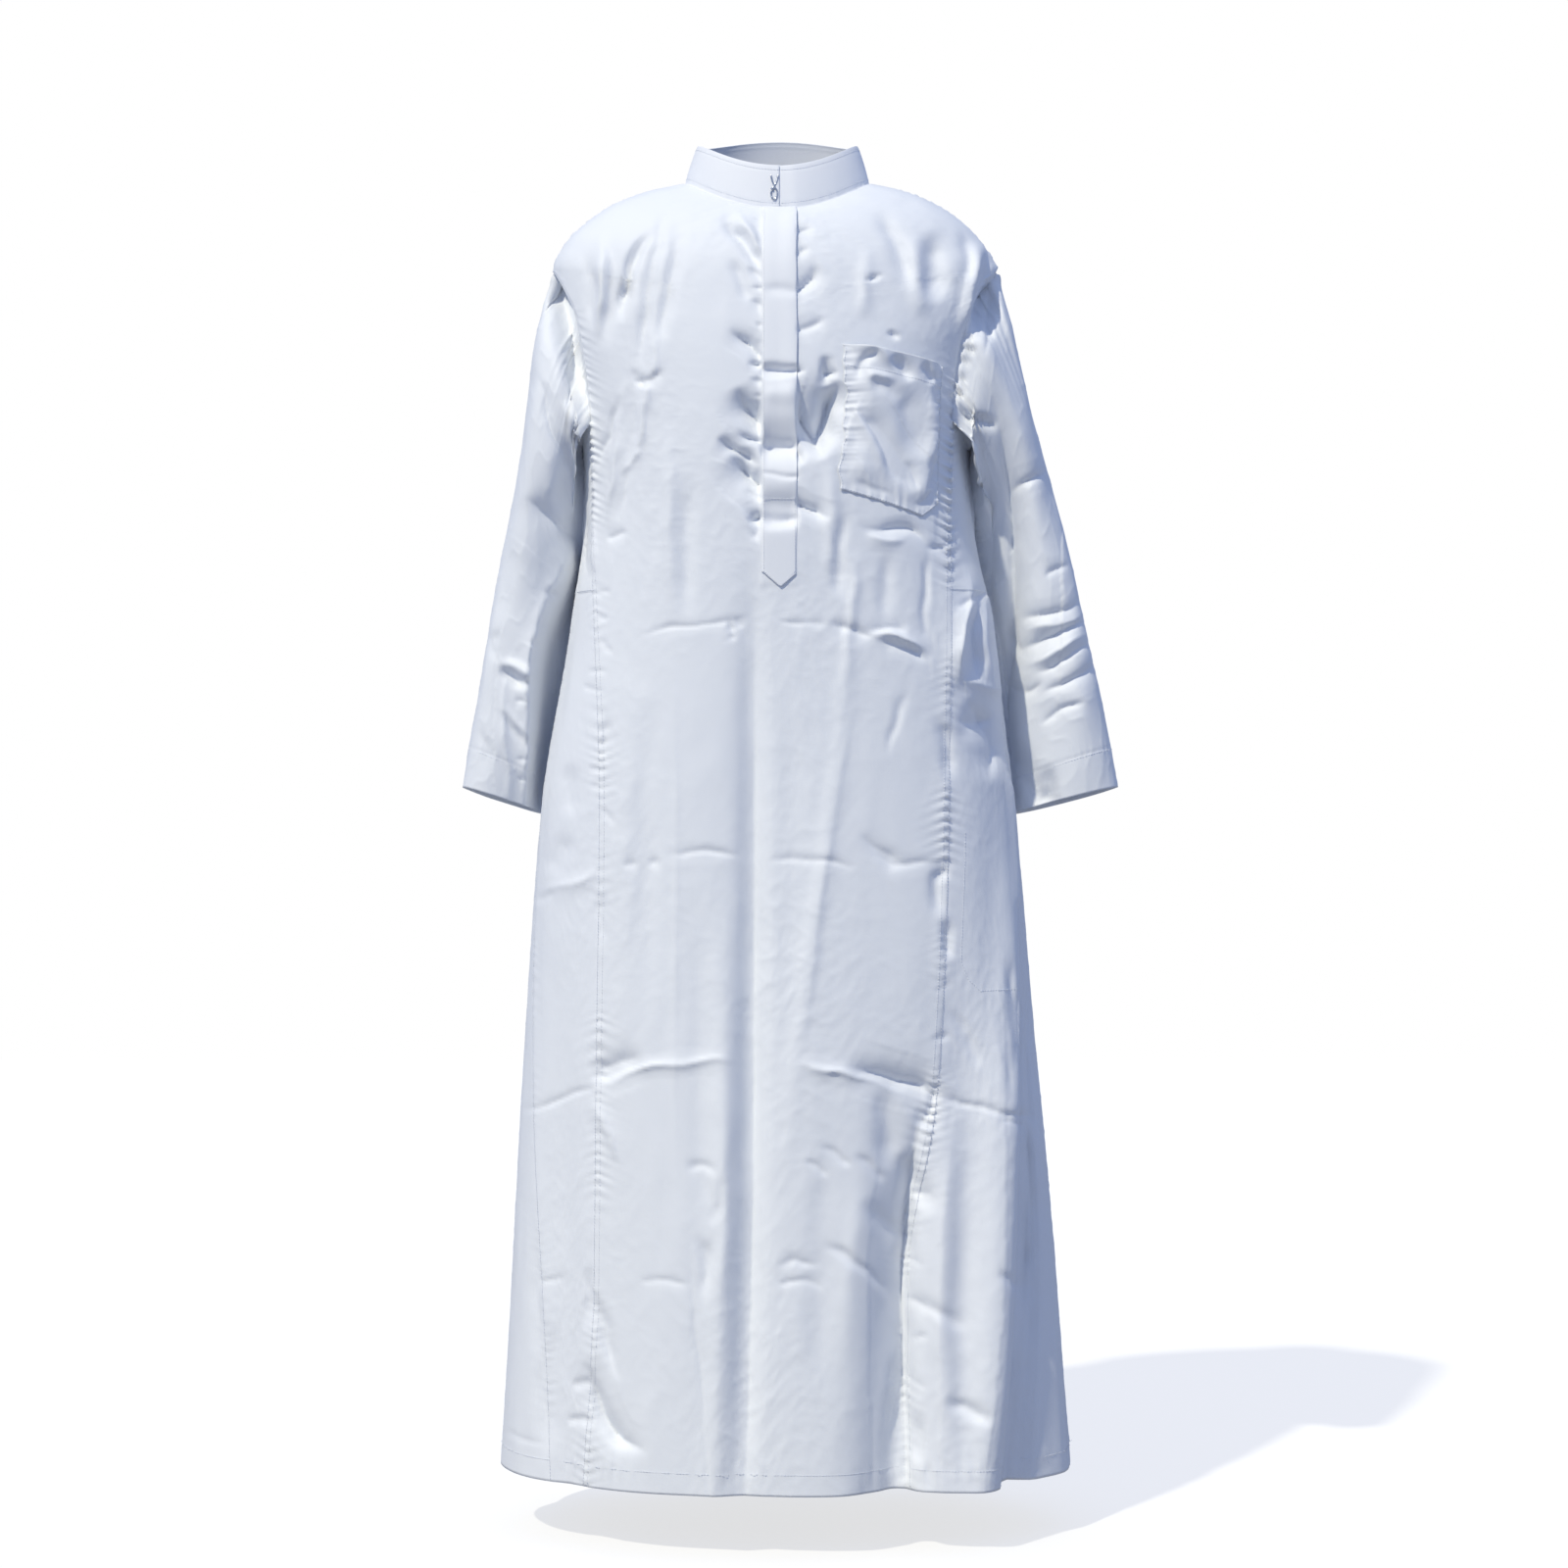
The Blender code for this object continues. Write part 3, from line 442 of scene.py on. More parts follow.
CRISP_CREASES = (
    # pulled to the placket
    (-2.1, 0, 3, 765, 222, 790, 234),
    (-2.1, 0, 3, 764, 231, 790, 245),
    (-2.2, 0, 3, 766, 241, 790, 257),
    (-2.5, 0, 3, 762, 274, 790, 289),
    (-2.1, 0, 3, 768, 293, 792, 299),
    (-3.4, 0, 4, 766, 305, 796, 325),
    (-2.5, 0, 3, 768, 328, 794, 336),
    (-2.5, 0, 3, 770, 349, 794, 355),
    (-9.5, 0, 5, 744, 336, 762, 351, 800, 380),
    (-6.6, 0, 3.5, 760, 369, 800, 376),
    (-3.1, 0, 3, 766, 386, 796, 390),
    (-2.8, 0, 3, 770, 401, 796, 405),
    (-16, 0, 9, 750, 394, 768, 424, 804, 460),
    (-7.6, 0, 6, 776, 404, 784, 450),
    (-6.6, 0, 4, 750, 440, 792, 456),
    (-10.4, 0, 6, 732, 446, 752, 459, 776, 474),
    (-18, 0, 10, 744, 462, 768, 488, 806, 512),
    (-3.5, 0, 3, 758, 500, 796, 516),
    (-8.5, 0, 6, 762, 534, 794, 518),
    (-2.8, 0, 5, 764, 552, 780, 532),
    (-3.1, 0, 3.5, 800, 246, 828, 230),
    (-3.1, 0, 3.5, 800, 264, 826, 252),
    (-6.6, 0, 5, 796, 300, 822, 290, 838, 268),
    (-3.1, 0, 4, 796, 336, 822, 336, 842, 322),
    (-2.8, 0, 3, 800, 379, 824, 379),
    (-6.6, 0, 4, 836, 378, 856, 377),
    (-20, 0, 9, 856, 386, 846, 408, 838, 430, 832, 462),
    (-20, 0, 8.5, 796, 390, 816, 424, 842, 470),
    (-7.6, 0, 5, 800, 446, 820, 474),
    (-8.5, 0, 5, 794, 504, 820, 516, 848, 530),
    # chest
    (-4, 0, 4, 634, 398, 626, 432, 616, 462, 603, 486),
    (3.5, 0, 4, 643, 380, 632, 430, 624, 492, 615, 556),
    (3.5, 0, 4, 674, 322, 668, 372, 656, 414, 650, 458, 638, 482),
    (-3, 0, 6, 649, 388, 643, 450, 637, 500, 630, 552),
    (-2.4, 0, 3, 646, 372, 658, 400),
    (-2.4, 0, 3, 674, 374, 658, 400),
    (-2, 0, 3, 648, 392, 668, 384),
    (2.4, 0, 3, 655, 455, 645, 470, 632, 486),
    (-3, 0, 3, 620, 549, 640, 541),
    (-4.5, 0, 3.5, 878, 532, 897, 541, 928, 539, 946, 562),
    (-3, 0, 3, 940, 560, 974, 559),
    (3, 0, 4, 882, 543, 900, 550, 930, 550),
    # first crease of the packet, at the waist
    (-1.4, 0.5, 2.4, 646, 649, 700, 640, 772, 630),
    (-1.6, 0, 3, 742, 634, 752, 643),
    (-1.6, 0, 3, 752, 630, 760, 640),
    (-1.2, 0, 3, 744, 645, 752, 652),
    (-1, 0.5, 2.4, 786, 634, 850, 637),
    (-4, 0.4, 4, 846, 634, 868, 644, 892, 651),
    (4.5, 0, 4, 886, 652, 902, 648, 925, 651, 950, 668),
    (-4, 0, 4, 890, 656, 918, 660, 948, 676),
    (-3, 0, 4, 884, 646, 904, 640, 930, 643),
    # second, over the hips
    (-1.6, 0.5, 3, 676, 871, 739, 871, 760, 878),
    (-1.6, 0, 4, 634, 886, 650, 882),
    (-1.6, 0, 4, 660, 884, 676, 875),
    (2, 0, 4, 545, 908, 584, 904, 616, 880),
    (-1.5, 0, 4, 545, 919, 568, 911),
    (-1.5, 0.5, 3, 775, 877, 838, 880, 880, 885),
    (-2.5, 0, 4, 878, 852, 902, 872, 925, 883),
    (-2, 0, 4, 880, 865, 918, 883, 968, 878),
    # third, at the knees, where the cloth breaks most
    (3.2, 0, 4, 603, 1113, 655, 1090, 688, 1085, 760, 1081),
    (-3.5, 0, 9, 598, 1096, 625, 1088, 660, 1076),
    (-2, 1, 3.5, 530, 1136, 572, 1123, 613, 1111),
    (3.2, 0, 4, 804, 1085, 835, 1092, 869, 1097, 938, 1120),
    (-9, 0, 9, 860, 1086, 905, 1100, 945, 1112, 958, 1127),
    (-6, 0, 8, 958, 1102, 950, 1130, 938, 1154),
    (-2.5, 1.2, 3.5, 950, 1121, 997, 1132, 1047, 1140, 1064, 1143),
    (-3, 0, 6, 1016, 1139, 1050, 1151),
    # fourth, at the shins
    (-1.4, 0.4, 3, 545, 1309, 580, 1307),
    (-1.5, 0, 3, 644, 1308, 709, 1308),
    (-2, 0, 3.5, 790, 1293, 812, 1287, 837, 1295),
    (-2, 0, 3.5, 788, 1311, 814, 1306, 844, 1315),
    (-3, 0, 5, 923, 1323, 949, 1337),
    # down the robe
    (-2.6, 0, 5, 770, 540, 770, 800, 769, 1200, 766, 1350, 757, 1660),
    (0.8, 0, 3, 687, 630, 690, 870, 688, 1085, 692, 1250),
    (-1.6, 0, 4, 704, 1247, 705, 1303, 716, 1407, 724, 1560),
    (0.8, 0, 4, 887, 640, 860, 780, 836, 930, 818, 1090),
    (-17, 0, 11, 946, 1078, 934, 1170, 925, 1240, 921, 1330, 922, 1400, 928, 1640),
    # sides of the skirt
    (-16, 0, 8, 1048, 900, 1051, 1040, 1052, 1180, 1050, 1330, 1043, 1407, 1018, 1640),
    (3, 0, 6, 1040, 900, 1043, 1040, 1043, 1180, 1040, 1330, 1032, 1400, 1006, 1640),
    (-9, 0, 7, 596, 1384, 612, 1436, 630, 1468, 664, 1482),
    (2.4, 0, 3.5, 603, 1120, 622, 1160, 634, 1188),
    (-3, 0, 6, 600, 1104, 625, 1096, 660, 1084),
    # under the arms
    (-4, 0, 5, 978, 417, 990, 425, 1016, 432),
    (2.5, 0, 5, 966, 430, 972, 470, 974, 521),
    (-16, 4, 15, 992, 420, 1000, 470, 1002, 520, 1000, 590),
    (9, 0, 9, 986, 572, 990, 600, 982, 650, 976, 712),
    (9, 0, 9, 1006, 590, 1004, 640, 1010, 690, 1026, 716),
    (-8, 0, 6, 998, 604, 994, 650, 996, 700),
    (-5, 0, 4, 972, 622, 990, 610, 1014, 606),
    (5, 0, 6, 978, 694, 1000, 698, 1028, 708),
    (-14, 0, 12, 984, 712, 1004, 738, 1014, 764, 1008, 800),
    (-4, 0, 5, 974, 736, 996, 738, 1020, 730),
    (2, 0, 6, 574, 414, 590, 424, 600, 440),
    (-6, 0, 6, 596, 470, 594, 520, 596, 570, 604, 600),
    (4, 0, 5, 608, 490, 606, 550, 612, 600),
)
# The hidden sides and the back, on the cloth unrolled from centre back, at PLAN_MIDDLE.
BACK_TO_DEGREE = 4  # squares to a degree round the body
BACK_TO_METRE = 909  # and to a metre down it, from the row of the neck
NECK_ROW = 188
BACK_CREASES = (
    (8, 0, 22, 474, 440, 474, 545, 474, 660),
    (8, 0, 22, 1126, 440, 1126, 545, 1126, 660),
    (-2.2, 0.8, 4, 420, 728, 560, 720, 690, 724),
    (-2, 0.5, 4, 706, 720, 800, 724, 884, 719),
    (-2.4, 0.8, 4, 896, 722, 1010, 727, 1150, 720),
    (2.2, 0, 4, 430, 952, 540, 946, 640, 950),
    (-2.4, 0.8, 4, 652, 951, 760, 947, 868, 952),
    (-2.2, 0.6, 4, 880, 950, 1000, 955, 1160, 948),
    (3, 0, 4, 424, 1158, 560, 1150, 702, 1156),
    (-3.4, 1, 5, 716, 1158, 812, 1152, 906, 1159),
    (3, 0, 4, 918, 1156, 1030, 1161, 1170, 1152),
    (-2, 0.5, 4, 430, 1372, 590, 1366, 720, 1372),
    (-2.2, 0.5, 4, 734, 1370, 830, 1374, 930, 1368),
    (-1.8, 0.5, 4, 944, 1370, 1060, 1375, 1180, 1366),
    (-4, 0, 8, 801, 380, 803, 700, 798, 1000, 800, 1300, 797, 1580),
    (-1.6, 0, 3, 800, 500, 801, 900, 799, 1200, 798, 1560),
    (-2.4, 1, 5, 676, 640, 668, 900, 660, 1200, 664, 1500),
    (-2.4, 1, 5, 930, 660, 940, 920, 946, 1230, 938, 1500),
    (-4.5, 0, 10, 650, 318, 676, 372, 690, 440),
    (-3.5, 0, 9, 612, 330, 640, 400, 652, 486),
    (-4.5, 0, 10, 952, 316, 930, 376, 914, 446),
    (-3.5, 0, 9, 996, 334, 966, 402, 950, 480),
    (-3, 0, 9, 740, 232, 730, 300, 724, 372),
    (-3, 0, 9, 862, 236, 874, 300, 880, 366),
    (-5, 0, 12, 566, 480, 640, 540, 720, 566),
    (-4, 0, 10, 560, 560, 630, 612, 700, 630),
    (-5, 0, 12, 1040, 486, 966, 544, 890, 570),
    (-3.5, 0, 9, 1048, 566, 980, 610, 904, 640),
    (-3.5, 0, 10, 716, 610, 770, 650, 820, 654),
    (-3, 0, 8, 752, 676, 810, 690, 862, 676),
    (-4, 0, 11, 590, 1000, 584, 1180, 574, 1380),
    (-4, 0, 11, 1006, 1010, 1016, 1190, 1026, 1400),
    (-4.5, 0, 12, 730, 1120, 736, 1300, 728, 1500),
    (-4.5, 0, 12, 868, 1130, 862, 1290, 870, 1500),
    (-2.5, 0, 6, 700, 1180, 720, 1220, 712, 1262),
    (-2.5, 0, 6, 884, 1176, 900, 1214, 892, 1250),
    (-2.2, 0, 6, 770, 1000, 790, 1040, 784, 1088),
    (-3, 0, 8, 500, 800, 512, 900, 504, 1000),
    (-3, 0, 8, 1098, 790, 1086, 900, 1096, 1010),
    (-3, 0, 8, 480, 1180, 492, 1290, 484, 1420),
    (-3, 0, 8, 1116, 1190, 1106, 1300, 1114, 1430),
    (-2, 0, 6, 610, 1420, 650, 1446, 690, 1440),
    (-2, 0, 6, 920, 1436, 960, 1452, 1000, 1440),
    (-3, 0, 7, 470, 470, 486, 540, 500, 620),
    (-3, 0, 7, 1130, 474, 1116, 548, 1100, 630),
)


def plan(points):
    """Column and row of points on the plan of the front: both shrink with the distance away."""
    scale = VIEW_AHEAD / (VIEW_AHEAD + points[..., 1]) / PLAN_SQUARE
    column = PLAN_MIDDLE + (points[..., 0] - VIEW_X) * scale
    return column, PLAN_MIDDLE - (points[..., 2] - VIEW_Z) * scale


def drawn(column, row, creases, pressed=False):
    """Lift of a set of creases, in metres.

    Across its line a crease is rise * exp(-(s/w)^2), or for a pressed one rise * exp(-|s|/w)
    with its crest rounded, plus lean * (s/w) * exp(0.5-(s/w)^2), where s is the distance to the
    right of someone who walks the line and w the half width.  Along it, it grows from nothing
    over the first third, varies, and dies away over the last.  The plan is wavered a little
    first, so that no short narrow crease runs quite straight.
    """
    lift = np.zeros(column.shape)
    wander = 1.5 * np.sin(column / 9.7 + row / 17.3) + 1.0 * np.sin(column / 5.3 - row / 6.9 + 2)
    ripple = 1.5 * np.sin(row / 10.9 - column / 15.1 + 1) + 1.0 * np.sin(row / 5.9 + column / 7.7)
    for rise, lean, wide, *path in creases:
        line = np.array(path, float).reshape(-1, 2)
        reach = CREASE_REACH * wide
        low, high = line.min(axis=0) - reach, line.max(axis=0) + reach
        near = (column > low[0]) & (column < high[0]) & (row > low[1]) & (row < high[1])
        if not near.any():
            continue
        run = np.concatenate([[0], np.cumsum(np.hypot(*np.diff(line, axis=0).T))])
        fine = np.linspace(0, run[-1], 4 * len(line) - 3)
        corners = np.stack([smooth(fine, run, line[:, 0]), smooth(fine, run, line[:, 1])], -1)
        loose = min(1, 4 / wide, 150 / run[-1])
        place = np.stack([column + loose * wander, row + loose * ripple], -1)[near]
        best = np.full(len(place), np.inf)
        side, share = np.zeros((2, len(place)))
        for i, (start, end) in enumerate(zip(corners[:-1], corners[1:])):
            step = end - start
            length = np.hypot(*step)
            off = place - start
            along = np.clip(off @ step / length**2, 0, 1)
            away = np.hypot(*(off - along[:, None] * step).T)
            right = (off[:, 1] * step[0] - off[:, 0] * step[1]) / length
            closer = away < best
            best = np.where(closer, away, best)
            side = np.where(closer, np.sign(right) * away, side)
            share = np.where(closer, (i + along) / (len(corners) - 1), share)
        taper = ease(np.minimum(share, 1 - share) / 0.35)
        varied = 1 + 0.2 * np.sin(share * run[-1] / (5 * wide) + line[0, 0])
        if pressed:
            rounded = np.hypot(side, CREST_ROUND) - CREST_ROUND
            crest = np.exp(-rounded / wide) * (np.abs(side) < reach)
        else:
            crest = bell(side, wide)
        flank = side / wide * np.exp(0.5 - (side / wide) ** 2)
        lift[near] += CREASE_STEP * varied * taper * (rise * crest + lean * flank)
    return lift


# Seeded waves stand for the unevenness that no one draws: long soft drape, and short crumple.
waves = np.random.default_rng(11)
DRAPE = [
    (int(waves.integers(5, 22)), waves.uniform(-2.2, 2.2), waves.uniform(0, 6.28))
    for _ in range(14)
]
CRUMPLE = [
    (int(size * math.cos(way) * 0.25), size * math.sin(way), waves.uniform(0, 6.28))
    for size, way in zip(waves.uniform(60, 230, 24), waves.uniform(0, 3.14, 24))
]


def unevenness(angle, down):
    """Sum of waves round and down the body, and a net of creases where other sums cross zero."""
    drape = sum(np.sin(k * angle + v * down * 6.28 + p) / (1 + k / 8) for k, v, p in DRAPE)
    grown = 0.35 + 0.65 * ease((down - 0.4) / 0.8)
    bent = angle + 0.05 * np.sin(9 * down + 4 * angle) + 0.03 * np.sin(31 * down)
    sunk = down + 0.02 * np.sin(7 * angle + 5 * down) + 0.008 * np.sin(23 * angle)
    net = 0
    for first in range(0, 24, 4):
        part = sum(np.sin(k * bent + v * sunk + p) for k, v, p in CRUMPLE[first : first + 4])
        net = net + np.exp(-2.2 * np.abs(part))
    patch = 0.55 + 0.45 * np.sin(3 * angle + 8 * down) * np.sin(5 * angle - 6 * down + 1)
    return 0.00050 * drape * grown + 0.00034 * patch * (net - 2.2)


def pucker(down, seed, pitch=0.0108):
    """Height of the little pillows along a seam: waves of uneven length and uneven strength."""
    drift = 4.1 * np.sin(13 * down + seed) + 2.6 * np.sin(37 * down + 2.3 * seed)
    drift = drift + 1.7 * np.sin(71 * down + 4.1 * seed)
    wave = np.sin(2 * math.pi * down / pitch + drift + seed)
    wave = wave + 0.6 * np.sin(2 * math.pi * down / (0.61 * pitch) - 1.6 * drift)
    strength = np.sin(17 * down + 1.7 * seed) + np.sin(41 * down + 3.1 * seed)
    chest = bell(down - 0.40, 0.13)
    return np.clip(0.42 + 0.45 * strength + 0.9 * chest, 0.06, 1.2) * wave * (1 + 0.9 * chest)


def apart(angle, other):
    """Signed turn from one angle to another, the short way round."""
    return (angle - other + math.pi) % (2 * math.pi) - math.pi


PLACKET_RIGHT = -0.0192  # x of the placket's two long edges
PLACKET_LEFT = 0.0181
PLACKET_TIP_X = 0.001
PLACKET_TOP_DOWN = 0.0005
PLACKET_SHOULDER_DOWN = 0.535
PLACKET_TIP_DOWN = 0.551
HEM_TURN = 0.025  # the hem is folded up inside by this much
HEM_STITCH_DOWN = HEM_DOWN - HEM_TURN + 0.002
# Cross creases that the placket shares with the cloth right under it, on the plan of the front.
PLACKET_BANDS = (
    (-5.5, 0, 5, 766, 378, 800, 379, 826, 378),
    (-9, 0, 22, 764, 452, 796, 453, 828, 454),
    (-7, 0, 7, 764, 455, 796, 456, 828, 457),
    (-1.6, 0, 3, 770, 483, 800, 484, 824, 486),
    (-5, 0, 14, 766, 516, 800, 518, 826, 519),
    (-4, 0, 6, 766, 529, 800, 531, 826, 532),
    (2, 0, 9, 772, 400, 800, 402, 822, 400),
    (-1.2, 0, 6, 772, 300, 800, 296, 822, 300),
)
# How much each seam puckers the cloth beside it, how far that reaches, and its own seed.
PUCKERS = {
    "front_right": (0.0011, 0.010, 1.0),
    "front_left": (0.0015, 0.010, 4.0),
    "back_right": (0.0008, 0.011, 7.0),
    "back_left": (0.0008, 0.011, 9.0),
    "side_right": (0.0005, 0.009, 2.0),
    "side_left": (0.0005, 0.009, 5.0),
}


def facing(out):
    """1 where cloth with these normals faces ahead, 0 where it faces sideways or back."""
    return ease((-out[..., 1] - 0.02) / 0.3)


def body_lift(angle, down):
    """How far the cloth of the body stands off its plain form, in metres.

    The drawn creases of the front fade out where the surface turns away and those of the back
    take over; the seeded unevenness and the seams' puckers are added all round.
    """
    flat = torso(angle, down)
    column, row = plan(flat)
    ahead = facing(torso_out(angle, down))
    front = drawn(column, row, SOFT_CREASES) + drawn(column, row, CRISP_CREASES, pressed=True)
    turned = np.degrees(angle) % 360 - 180
    round_back = PLAN_MIDDLE + BACK_TO_DEGREE * turned
    back = drawn(round_back, NECK_ROW + BACK_TO_METRE * down, BACK_CREASES)
    lift = ahead * front + (1 - ahead) * back + unevenness(angle, down)
    pace = ring_pace(angle, down)
    seams = seam_angles(down)
    for name, (height, reach, seed) in PUCKERS.items():
        off = apart(angle, seams[name]) * pace
        level = down + 0.35 * np.abs(off) * np.sign(np.sin(9 * down + seed))
        begun = ease((down - (0.38 if "side" in name else 0.02)) / 0.04)
        lift = lift + height * begun * pucker(level, seed) * np.exp(-np.abs(off) / reach)
    hem = np.exp(-np.abs(down - HEM_STITCH_DOWN) / 0.010)
    lift = lift + 0.0008 * hem * pucker(angle * 0.27, 3.0, 0.017)
    edge = np.minimum(flat[..., 0] - PLACKET_RIGHT, PLACKET_LEFT - flat[..., 0])
    under = ease((edge + 0.004) / 0.006) * ease((0.553 - down) / 0.008) * (np.cos(angle) > 0)
    return lift + under * (drawn(column, row, PLACKET_BANDS) - lift)


def lift_way(out):
    """The way a crease stands off the plain form: its normal, but on the front mostly ahead."""
    return out + 0.75 * facing(out)[..., None] * (np.array([0.0, -1.0, 0.0]) - out)


def body_points(angle, down, rise=0.0):
    """The finished cloth: the plain form moved by its lift, and along its own normal by a rise."""
    angle, down = np.broadcast_arrays(angle, down)
    out = torso_out(angle, down)
    lift = body_lift(angle, down)[..., None] * lift_way(out)
    return torso(angle, down) + lift + np.asarray(rise)[..., None] * out


def cell_corners(grid):
    """The four corners of each cell of a grid, in turn round the cell."""
    return np.stack([grid[:-1, :-1], grid[1:, :-1], grid[1:, 1:], grid[:-1, 1:]], axis=2)


def sheet_object(name, points, across, down, tube=False):
    """A single sheet of cloth through a grid of points, with a map of its cloth in metres.

    Faces are the grid's cells, and a tube's last column joins its first.
    """
    rows, columns = points.shape[:2]
    index = np.arange(rows * columns).reshape(rows, columns)
    if tube:
        index = np.concatenate([index, index[:, :1]], axis=1)
        across = np.concatenate([across, 2 * across[:, -1:] - across[:, -2:-1]], axis=1)
        down = np.concatenate([down, down[:, :1]], axis=1)
    faces = cell_corners(index).reshape(-1, 4)
    mesh = bpy.data.meshes.new(name)
    mesh.vertices.add(rows * columns)
    mesh.vertices.foreach_set("co", points.reshape(-1).astype(np.float32))
    mesh.loops.add(faces.size)
    mesh.loops.foreach_set("vertex_index", faces.reshape(-1).astype(np.int32))
    mesh.polygons.add(len(faces))
    mesh.polygons.foreach_set("loop_start", np.arange(0, faces.size, 4, dtype=np.int32))
    layer = mesh.uv_layers.new(name="cloth")
    flat = cell_corners(np.stack([across, down], axis=-1))
    layer.data.foreach_set("uv", flat.reshape(-1).astype(np.float32))
    mesh.update(calc_edges=True)
    mesh.validate()
    mesh.shade_smooth()
    return add_object(name, mesh)


# Plain poplin: fine warp down the cloth and weft across it, with a few thicker yarns.
poplin = bpy.data.node_groups.new("poplin_weave", "ShaderNodeTree")
for socket in ("Threads", "Crumple", "Yarn", "Slub", "Soil", "Wrinkle"):
    way = "INPUT" if socket in ("Threads", "Crumple") else "OUTPUT"
    poplin.interface.new_socket(socket, in_out=way, socket_type="NodeSocketFloat")


def add_node(tree, kind, label, values=None, **settings):
    """A shader node with a readable name, its settings and the values of its inputs."""
    made = tree.nodes.new(kind)
    made.name = label
    made.label = label
    for setting, value in settings.items():
        setattr(made, setting, value)
    set_inputs(made, values or {})
    return made


def add_math(tree, label, operation, *operands):
    """A Math node; each operand is a number or another node's socket."""
    made = add_node(tree, "ShaderNodeMath", label, operation=operation)
    for place, operand in enumerate(operands):
        if isinstance(operand, (int, float)):
            made.inputs[place].default_value = operand
        else:
            tree.links.new(operand, made.inputs[place])
    return made.outputs[0]


def add_noise(tree, label, where, stretch, scale, detail, **settings):
    """Noise read through a Mapping that stretches it along one way of the cloth."""
    mapping = add_node(tree, "ShaderNodeMapping", label + " stretch", {"Scale": stretch})
    tree.links.new(where, mapping.inputs["Vector"])
    values = {"Scale": scale, "Detail": detail}
    noise = add_node(tree, "ShaderNodeTexNoise", label, values, **settings)
    tree.links.new(mapping.outputs["Vector"], noise.inputs["Vector"])
    return noise.outputs["Fac"]


def add_blend(tree, label, factor, dark, light, shader):
    """A shader's base colour, from dark to light as the factor grows."""
    values = {6: (*dark, 1), 7: (*light, 1)}
    made = add_node(tree, "ShaderNodeMix", label, values, data_type="RGBA")
    tree.links.new(factor, made.inputs["Factor"])
    tree.links.new(made.outputs[2], shader.inputs["Base Color"])


def add_bump(tree, label, height, strength, distance):
    """Relief from a height."""
    values = {"Strength": strength, "Distance": distance}
    made = add_node(tree, "ShaderNodeBump", label, values)
    tree.links.new(height, made.inputs["Height"])
    return made


inside = add_node(poplin, "NodeGroupInput", "from cloth")
outside = add_node(poplin, "NodeGroupOutput", "to cloth")
on_cloth = add_node(poplin, "ShaderNodeUVMap", "cloth map", uv_map="cloth").outputs["UV"]
on_object = add_node(poplin, "ShaderNodeTexCoord", "place").outputs["Object"]
ways = add_node(poplin, "ShaderNodeSeparateXYZ", "ways")
poplin.links.new(on_cloth, ways.inputs["Vector"])
turns = []
for way in ("X", "Y"):
    run = add_math(poplin, "threads " + way, "MULTIPLY", ways.outputs[way], inside.outputs["Threads"])
    wave = add_math(poplin, "half turns " + way, "MULTIPLY", run, math.pi)
    turns.append(add_math(poplin, "yarn wave " + way, "SINE", wave))
warp = add_noise(poplin, "warp slubs", on_cloth, (1, 0.035, 1), 900, 2)
weft = add_noise(poplin, "weft slubs", on_cloth, (0.03, 1, 1), 700, 2)
slub = add_math(poplin, "slubs", "ADD", warp, weft)
ridged = "RIDGED_MULTIFRACTAL"
fine = add_noise(poplin, "fine crumple", on_object, (1, 1, 0.5), 26, 3, noise_type=ridged)
for socket, value in (
    ("Yarn", add_math(poplin, "over and under", "MULTIPLY", turns[0], turns[1])),
    ("Slub", add_math(poplin, "slub mean", "MULTIPLY", slub, 0.5)),
    ("Soil", add_noise(poplin, "uneven finish", on_object, (1, 1, 0.6), 5, 3)),
    ("Wrinkle", add_math(poplin, "crumple", "MULTIPLY", fine, inside.outputs["Crumple"])),
):
    poplin.links.new(value, outside.inputs[socket])

THREADS = 1700.0  # yarns to a metre that the weave is drawn with
WHITE = (0.84, 0.865, 0.895)


def cloth_finish(name, tone, crumple):
    """White poplin, one material for each piece, from the weave group."""
    made, tree, shader = new_material(name)
    weave = add_node(tree, "ShaderNodeGroup", "poplin weave", node_tree=poplin)
    set_inputs(weave, {"Threads": THREADS, "Crumple": crumple})
    slub = weave.outputs["Slub"]
    uneven = add_math(tree, "uneven", "MULTIPLY", weave.outputs["Soil"], 0.6)
    yarns = add_math(tree, "yarn tone", "MULTIPLY", slub, 0.8)
    dark = (tone[0] * 0.965, tone[1] * 0.97, tone[2] * 0.985)
    add_blend(tree, "cloth colour", add_math(tree, "tone", "ADD", uneven, yarns), dark, tone, shader)
    gloss = add_math(tree, "gloss", "MULTIPLY_ADD", slub, 0.16, 0.46)
    tree.links.new(gloss, shader.inputs["Roughness"])
    set_inputs(shader, {"Specular IOR Level": 0.35, "Sheen Weight": 0.12, "Sheen Roughness": 0.45})
    relief = add_math(tree, "yarns", "MULTIPLY_ADD", slub, 1.5, weave.outputs["Yarn"])
    yarn_bump = add_bump(tree, "yarn relief", relief, 0.22, 0.0002)
    crumple_bump = add_bump(tree, "crumple relief", weave.outputs["Wrinkle"], 0.75, 0.0023)
    tree.links.new(yarn_bump.outputs["Normal"], crumple_bump.inputs["Normal"])
    tree.links.new(crumple_bump.outputs["Normal"], shader.inputs["Normal"])
    return made


HEM_CLEAR = 0.0013  # gap between the cloth and its hem
